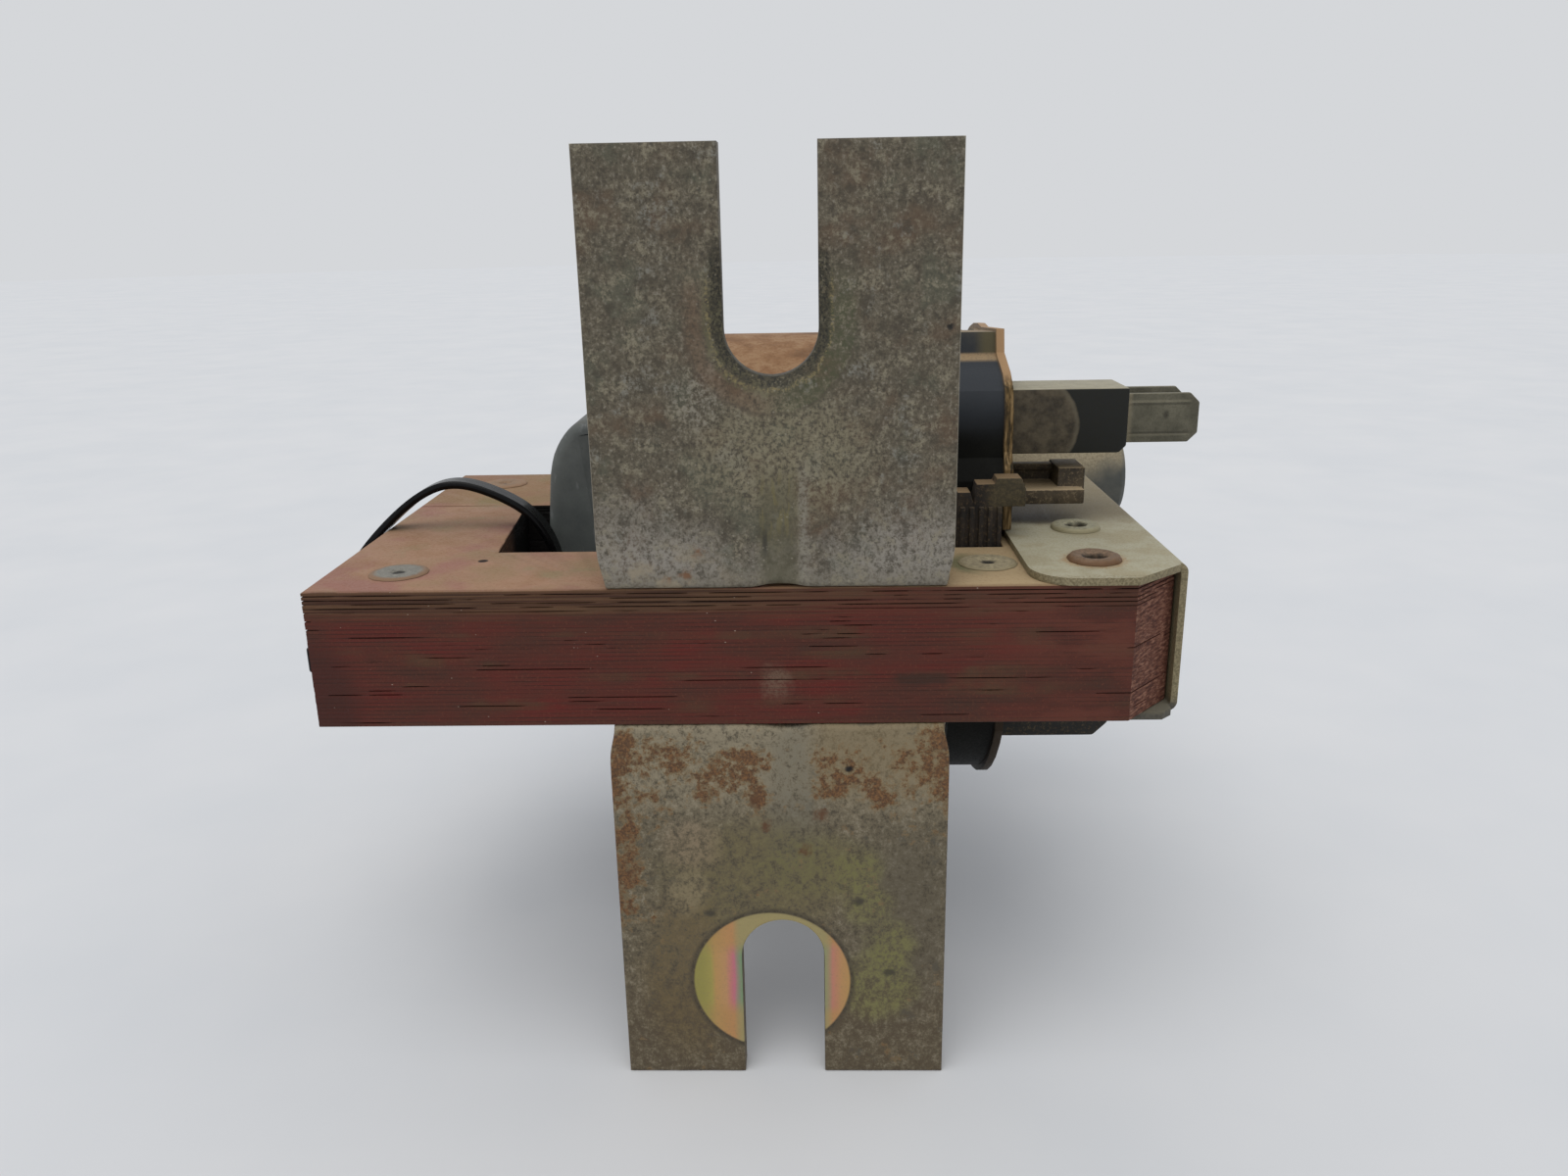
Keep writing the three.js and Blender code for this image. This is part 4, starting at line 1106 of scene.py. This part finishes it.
def add_case():
    centre, low, high = middle_of("coil_case")
    radius = (high.z - low.z) / 2
    bore, wall, step = 17, 3, 0.25
    inside = radius - wall
    profile = fillet([
        (bore, low.x), (radius - 1.2, low.x), (radius, low.x + 1.4), (radius, low.x + 12),
        (radius - step, low.x + 12.2), (radius - step, high.x - 2.4), (radius, high.x - 2.2),
        (radius, high.x - 0.6), (radius - 0.6, high.x), (inside, high.x), (inside, low.x + wall),
        (bore, low.x + wall), (bore, low.x),
    ], 0.6)
    profile[-1] = profile[0]
    shell = lathe(profile, (0, centre.y, centre.z), "X", 128, 0.1, 9)
    place("coil_case", "shell", shell, case_look())


def add_end_cap():
    """A block with rounded shoulders, open for the back leg and bored for the case."""
    centre = middle_of("coil_case")[0]
    low, high = node_box("left_end_cap")
    middle = (low.z + high.z) / 2
    tall = (high.z - low.z) / 2
    bulge = [(0.05, 0), (0.55, 8), (1.15, 14.4), (1.8, 17), (2.9, 19), (4.1, 20.5), (5.4, 21.5),
             (7, tall - 0.02)]
    lower = [(low.x + inset, middle - rise) for inset, rise in bulge]
    upper = [(low.x + inset, middle + rise) for inset, rise in reversed(bulge[1:])]
    outline = [(high.x, middle - tall), (high.x, middle + tall), *upper, *lower]
    outline = fillet(outline, 1.2, closed=True, steps=2)
    cap = rounded_slab(outline, low.y, high.y, 1.6)
    leg_low, leg_high = node_box("core_back_leg")
    gap = Vector((5, 0.3, 0.3))
    near = Vector((low.x, leg_low.y, leg_low.z)) - gap
    far = Vector((high.x, leg_high.y, leg_high.z)) + gap
    cap = carve(cap, box_mesh(near, far))
    bore = [(0, low.x + 3.7), (16.6, low.x + 3.7), (16.6, high.x + 2), (0, high.x + 2)]
    cap = carve(cap, lathe(bore, (0, centre.y, centre.z), "X", 48))
    grey = dull_plastic_look("cap_plastic", (75, 79, 77), (93, 97, 94), (114, 109, 100), 0.35, 44)
    place("left_end_cap", "block", cap, grey, sharp=30)


def winding_look(name, dark, light, pitch):
    """Turns of wire, as fine ridges round the coil."""
    look = Look(name, Metallic=0.6)
    turns = look.sum("SINE", look.x * (2 * math.pi / pitch))
    grain = look.noise(1.2, detail=3, stretch=(4, 1, 1), seed=pitch)
    colour = (turns + grain).band(-0.8, 1.4).mottle((0.0, dark), (1.0, light))
    return look.done(colour, grain.band(0.3, 0.7, 0.3, 0.5), turns, depth=0.1)


def inner_look(name, dark, light, size, rough):
    look = Look(name)
    grain = look.noise(size, detail=4, seed=size)
    colour = grain.mottle((0.3, dark), (0.7, light))
    return look.done(colour, grain.band(0.3, 0.7, rough, rough + 0.15), grain, depth=0.03)


def dress_inner_nodes():
    """The pieces inside the case keep their CAD shape."""
    copper = winding_look("copper_wire", (120, 62, 30), (196, 116, 66), 0.5)
    nylon = inner_look("bobbin_nylon", (188, 176, 150), (214, 204, 180), 3.0, 0.45)
    paper = inner_look("sleeve_paper", (168, 140, 96), (196, 170, 124), 1.5, 0.8)
    resin = inner_look("cast_resin", (40, 30, 22), (66, 48, 34), 4.0, 0.25)
    brass = inner_look("insert_brass", (120, 108, 70), (156, 142, 98), 1.0, 0.35)
    looks = {
        "primary_bobbin": nylon, "secondary_bobbin": nylon, "primary_winding": copper,
        "interlayer_sleeve": paper, "potting_compound": resin, "ht_insert": brass,
    }
    looks.update({f"secondary_winding_{i}": copper for i in (1, 2, 3, 4)})
    for node, material in looks.items():
        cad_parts[node].material_slots[0].material = material


# ------------------------------------------------------------------ terminal head


def head_look():
    look = Look("head_plastic", Specular_IOR_Level=0.08)
    right = node_box("terminal_head")[1].x
    fine = look.noise(0.3, detail=6, roughness=0.7, seed=51)
    broad = look.noise(5, detail=4, seed=52)
    colour = broad.mottle((0.3, (11, 11, 9)), (0.7, (20, 20, 16)))
    # painted sheen: a blue-grey reflection on the upper front that fades downwards
    level = look.z + broad * 2.0
    painted_sheen = level.band(TOP + 13, TOP + 20).mottle((0.0, (26, 27, 27)), (0.6, (48, 51, 55)),
                                                  (1.0, (60, 63, 67)))
    colour.coat(level.band(TOP + 12.5, TOP + 15.5), painted_sheen)
    # painted sheen: the upper tier is coloured blue-grey
    tier_sheen = broad.mottle((0.35, (44, 48, 54)), (0.65, (66, 66, 64)))
    colour.coat(look.z.band(TOP + 22.3, TOP + 22.6), tier_sheen)
    olive = look.z.band(TOP + 22.3, TOP + 22.6) * look.x.band(right - 4.2, right - 2.2) * 0.7
    colour.coat(olive, (96, 88, 62))
    lodged = look.z.band(TOP + 21.5, TOP + 21.9) * look.z.band(TOP + 22.7, TOP + 22.3)
    colour.coat(lodged * fine.band(0.3, 0.55, 0.5, 1.0), (158, 136, 106))
    crown = look.z.band(TOP + 24.2, TOP + 25) * look.up.band(0.3, 0.8)
    colour.coat(crown, (128, 116, 96))
    behind = look.y.band(FRONT + 33, FRONT + 36) * look.up.band(0.2, 0.8, 0.0, 0.8)
    colour.coat(behind, (138, 118, 92))

    streak = look.noise(0.5, detail=5, roughness=0.65, stretch=(1.4, 0.5, 0.16), seed=54)
    striped = streak.mottle((0.38, (50, 44, 32)), (0.5, (104, 84, 54)), (0.62, (150, 126, 90)))
    upper = look.z.band(TOP + 19, TOP + 21)
    striped.coat(upper, (164, 132, 98))
    striped.coat(look.z.band(TOP + 1, TOP - 3), (58, 48, 38))
    lip = look.x.band(right - 1.2, right - 0.95) * look.right.band(0.9, 0.5)
    colour.coat(lip, striped)
    side = look.right.band(0.5, 0.9) * broad.band(0.3, 0.6, 0.3, 0.9)
    colour.coat(side, (88, 76, 58))
    rough = fine.band(0.35, 0.65, 0.4, 0.6)
    return look.done(colour, rough, fine, depth=0.04, strength=0.5)


def dusty_black_look(name, seed, dark, light, dust):
    """Moulded plastic with dust on whatever faces up."""
    look = Look(name, Specular_IOR_Level=0.3)
    fine = look.noise(0.35, detail=6, roughness=0.7, seed=seed)
    broad = look.noise(2.5, detail=5, roughness=0.65, seed=seed + 1)
    colour = broad.mottle((0.36, dark), (0.64, light))
    colour.coat(fine.band(0.5, 0.66, 0.0, 0.35), dust)
    settled = look.up + (fine - 0.5) * 0.8
    settled = settled.band(0.35, 0.75)
    colour.coat(settled, broad.mottle((0.36, dust), (0.64, linear(dust, 1.25))))
    return look, colour, fine


def block_look():
    look, colour, fine = dusty_black_look("block_plastic", 61, (26, 27, 23), (36, 36, 31), (150, 144, 124))
    low, high = node_box("terminal_block")
    middle = (low.z + high.z) / 2
    front = look.forward.band(0.5, 0.8)
    plain = fine.mottle((0.4, (20, 21, 17)), (0.65, (32, 32, 27)))
    colour.coat(front, plain)
    broad = look.noise(1.8, detail=5, roughness=0.65, seed=63)
    mottled = broad.mottle((0.38, (52, 46, 36)), (0.62, (86, 77, 61)))
    spot = (low.x + 0.5, low.y, middle - 0.6)
    patch = look.near(spot, 8.0, 0.4, ragged=0.25, size=2, squash=(1, 0, 1.15))
    colour.coat(patch * front, mottled)
    core_of_patch = look.near(spot, 7.4, 0.6, ragged=0.25, size=2, squash=(1, 0, 1.15))
    rim = patch * front * (1.0 - core_of_patch) * 0.6
    colour.coat(rim, (98, 91, 75))
    return look.done(colour, fine.band(0.35, 0.65, 0.5, 0.75), fine, depth=0.04, strength=0.5)


def fitting_look(name, seed, dark, light, dust):
    look, colour, fine = dusty_black_look(name, seed, dark, light, dust)
    return look.done(colour, fine.band(0.35, 0.65, 0.55, 0.8), fine, depth=0.06, strength=0.6)


def tower_look():
    look = Look("tower_plastic", Specular_IOR_Level=0.3)
    fine = look.noise(0.35, detail=6, roughness=0.7, seed=71)
    broad = look.noise(5, detail=4, seed=72)
    colour = broad.mottle((0.3, (72, 74, 71)), (0.7, (94, 94, 87)))
    end = node_box("ht_tower")[1].x
    level = look.up * 0.9 + broad * 0.7 + look.x.band(end - 1, end - 14, 0.0, 0.5)
    dust = fine.mottle((0.4, (128, 116, 92)), (0.6, (154, 143, 118)))
    colour.coat(level.band(0.35, 1.15), dust)
    return look.done(colour, fine.band(0.35, 0.65, 0.55, 0.75), fine, depth=0.04, strength=0.5)


def tab_look():
    look = Look("tab_metal", Metallic=0.35)
    low, high = node_box("spade_terminal_front")
    block_end = node_box("terminal_block")[1].x
    middle = (low.z + high.z) / 2
    fine = look.noise(0.25, detail=6, roughness=0.7, seed=81)
    broad = look.noise(2.5, detail=5, roughness=0.6, seed=82)
    colour = broad.mottle((0.36, (78, 75, 61)), (0.64, (102, 98, 82)))
    colour.coat(fine.band(0.5, 0.66, 0.0, 0.5), (70, 66, 52))
    lift = abs(look.z - middle)
    # painted shade and highlight of a pressed line: a darker band with a light line beside it
    coined = lift.band(1.6, 1.8) * lift.band(2.1, 1.9) * look.x.band(high.x - 0.8, high.x - 1.6)
    colour.coat(coined * 0.55, (58, 54, 42))
    ridge_highlight = lift.band(1.95, 2.05) * lift.band(2.4, 2.2) * look.x.band(high.x - 0.8, high.x - 1.6)
    colour.coat(ridge_highlight * 0.4, (132, 126, 106))
    # painted shade in the detent dimple
    detent = look.near((high.x - 4.2, 0, middle + 0.35), 0.1, 0.45, ragged=0.15, squash=(1, 0, 0.7))
    colour.coat(detent * 0.75, (48, 44, 34))
    root = look.x.band(block_end + 0.9, block_end + 0.2, 0.0, 0.7)
    colour.coat(root, (136, 126, 102))
    edge = look.forward.band(0.9, 0.5, 0.0, 0.6)
    colour.coat(edge, (132, 126, 106))
    return look.done(colour, fine.band(0.35, 0.65, 0.45, 0.65), fine + coined, depth=0.05)


def cheek_look():
    dark, light, tan = (24, 21, 18), (46, 39, 32), (118, 98, 72)
    look, colour, fine = dusty_black_look("cheek_plastic", 91, dark, light, tan)
    right = node_box("bobbin_cheek")[1].x
    overhang = (look.x.band(right - 5.5, right - 3.5) * look.z.band(TOP + 4, TOP + 5.5)
                * look.forward.band(0.4, 0.8))
    olive = fine.mottle((0.4, (58, 52, 36)), (0.62, (86, 76, 54)))
    colour.coat(overhang * 0.9, olive)
    rib_ends = look.up.band(0.3, 0.7) * look.z.band(TOP + 5.4, TOP + 5.1)
    colour.coat(rib_ends * 0.8, light)
    # painted shade: darker lower down, where the cheek drops below the core's top
    window_shade = look.z.band(TOP + 1, TOP - 3, 0.0, 0.7)
    colour.coat(window_shade, (14, 12, 11))
    return look.done(colour, fine.band(0.35, 0.65, 0.6, 0.8), fine, depth=0.06, strength=0.6)


def add_head():
    ledge = fitting_look("ledge_plastic", 94, (48, 41, 31), (78, 67, 50), (150, 132, 104))
    lug = fitting_look("lug_plastic", 97, (26, 26, 24), (42, 41, 37), (128, 108, 80))
    metal = tab_look()
    for node, suffix, width, segments, material, slot in (
        ("terminal_head", "shell", 0.3, 3, head_look(), "black_plastic"),
        ("bobbin_cheek", "wall", 0.12, 2, cheek_look(), "black_plastic"),
        ("latch_ledge", "channel", 0.15, 2, ledge, "black_plastic"),
        ("terminal_block", "housing", 0.25, 3, block_look(), "black_plastic"),
        ("lower_lug", "bar", 0.4, 3, lug, "black_plastic"),
        ("ht_tower", "tube", 0.2, 3, tower_look(), "grey_plastic"),
        ("spade_terminal_front", "blade", 0.15, 2, metal, "terminal_metal"),
        ("spade_terminal_rear", "blade", 0.15, 2, metal, "terminal_metal"),
    ):
        place(node, suffix, refined(node, width, segments), material)


# ------------------------------------------------------------------ cable tie

TIE_WIDTH = 3.2
TIE_THICKNESS = 1.05
TIE_ROUTE = [
    (-56.6, -1.6), (-49.4, 4.6), (-43.4, 6.2), (-36, 3.2), (-32.3, -1.2), (-31, -7), (-31.8, -14),
    (-36, -19.4), (-45, -21), (-56, -20.4), (-63.5, -18.6), (-65.2, -15.6), (-62, -9),
]


def tie_look():
    look = Look("tie_nylon", Specular_IOR_Level=0.15)
    fine = look.noise(1.5, detail=3, seed=101)
    colour = fine.mottle((0.3, (7, 7, 8)), (0.7, (13, 13, 14)))
    return look.done(colour, fine.band(0.3, 0.7, 0.2, 0.3), fine, depth=0.004, strength=0.3)


def smooth_loop(route, per_leg):
    """Points of a smooth closed curve through the route, with the direction across it."""
    count = len(route)
    points = []
    for i in range(count):
        a, b, c, d = (Vector(route[(i + k) % count]) for k in (-1, 0, 1, 2))
        for k in range(per_leg):
            t = k / per_leg
            points.append(0.5 * (2 * b + (c - a) * t + (2 * a - 5 * b + 4 * c - d) * t ** 2
                                 + (3 * b - a - 3 * c + d) * t ** 3))
    total = len(points)
    across = []
    for i in range(total):
        along = (points[(i + 1) % total] - points[i - 1]).normalized()
        across.append(Vector((-along.y, along.x)))
    return points, across


def tie_band(middle):
    """A flat band with bevelled edges, swept along the route."""
    loop, across = smooth_loop(TIE_ROUTE, 14)
    half, thick = TIE_WIDTH / 2, TIE_THICKNESS / 2
    bevel = 0.3
    section = [(-half, 0.25 * thick), (-half + bevel, thick), (half - bevel, thick), (half, 0.25 * thick)]
    section += [(y, -out) for y, out in reversed(section)]
    points = []
    for spot, side in zip(loop, across):
        for y, out in section:
            points.append((spot.x + side.x * out, middle + y, TOP + spot.y + side.y * out))
    rings = rings_of(len(section), len(loop))
    return mesh_of(points, skin(rings + rings[:1]))


def tie_lock(middle):
    """A rounded block whose top is sunk inside a rim."""
    size = Vector((4.6, 5.6, 3.8))
    centre = Vector((-64.9, middle, TOP - 18.3))
    rim = 0.9
    mesh = bpy.data.meshes.new("mesh")
    with editing(mesh) as work:
        bmesh.ops.create_cube(work, size=1.0)
        bmesh.ops.scale(work, vec=size * MM, verts=work.verts)
        bmesh.ops.translate(work, vec=centre * MM, verts=work.verts)
        top = [face for face in work.faces if face.normal.z > 0.9]
        bmesh.ops.inset_region(work, faces=top, thickness=rim * MM)
        bmesh.ops.translate(work, vec=(0, 0, -rim * MM), verts=top[0].verts)
        bmesh.ops.bevel(work, geom=work.edges[:], offset=0.35 * MM, segments=3, profile=0.5,
                        affect="EDGES", clamp_overlap=True)
    return mesh


def add_tie():
    low, high = node_box("cable_tie")
    middle = (low.y + high.y) / 2
    nylon = tie_look()
    place("cable_tie", "band", tie_band(middle), nylon, sharp=50)
    place("cable_tie", "lock", tie_lock(middle), nylon, sharp=50)


# ------------------------------------------------------------------ stage, light and camera


def add_floor():
    look = Look("floor_pale", Specular_IOR_Level=0.0)
    soft = look.noise(40, detail=3, seed=201)
    colour = soft.mottle((0.3, (216, 218, 221)), (0.7, (221, 222, 224)))
    material = look.done(colour, soft.band(0.3, 0.7, 0.8, 0.9))
    level = cad_low.z / MM - 0.05
    reach = 4000
    sides = 48
    ring = [(reach * math.cos(2 * math.pi * i / sides), reach * math.sin(2 * math.pi * i / sides),
             level) for i in range(sides)]
    mesh = mesh_of(ring, [tuple(range(sides))])
    mesh.name = "floor"
    mesh.materials.append(material)
    floor = bpy.data.objects.new("floor", mesh)
    bpy.context.scene.collection.objects.link(floor)


def add_light():
    world = bpy.data.worlds.new("studio")
    bpy.context.scene.world = world
    world.use_nodes = True
    background = world.node_tree.nodes["Background"]
    background.inputs["Color"].default_value = (0.95, 0.97, 1.0, 1.0)
    background.inputs["Strength"].default_value = 0.7
    lamp = bpy.data.lights.new("overhead", "SUN")
    lamp.energy = 1.0
    lamp.angle = math.radians(50)
    lamp.color = (1.0, 0.985, 0.96)
    sun = bpy.data.objects.new("overhead", lamp)
    sun.rotation_euler = Vector((-0.15, -0.45, 1.0)).to_track_quat("Z", "Y").to_euler()
    bpy.context.scene.collection.objects.link(sun)
    bpy.context.scene.view_settings.view_transform = "Standard"


def add_camera():
    """A wide lens close in front, a little above, looking down."""
    eye = Vector((4.254, -125.204, 20.580))
    yaw, pitch, roll = -0.0265, 0.298, -0.0183
    forward = Vector((math.sin(yaw) * math.cos(pitch), math.cos(yaw) * math.cos(pitch), -math.sin(pitch)))
    right = Vector((math.cos(yaw), -math.sin(yaw), 0))
    up = right.cross(forward)
    right, up = math.cos(roll) * right + math.sin(roll) * up, math.cos(roll) * up - math.sin(roll) * right
    data = bpy.data.cameras.new("camera")
    data.lens = 26.8
    data.sensor_width = 36
    data.clip_start = 0.005
    data.clip_end = 50
    camera = bpy.data.objects.new("camera", data)
    turn = Matrix((right, up, -forward)).transposed().to_4x4()
    camera.matrix_world = Matrix.Translation(eye * MM) @ turn
    bpy.context.scene.collection.objects.link(camera)
    bpy.context.scene.camera = camera


# ------------------------------------------------------------------ the scene

add_camera()
add_light()
add_floor()
add_core()
add_brackets()
add_core_rivets()
add_strap_eyelets()
add_bracket_rivets()
add_strap()
add_case()
add_end_cap()
add_head()
add_tie()
dress_inner_nodes()
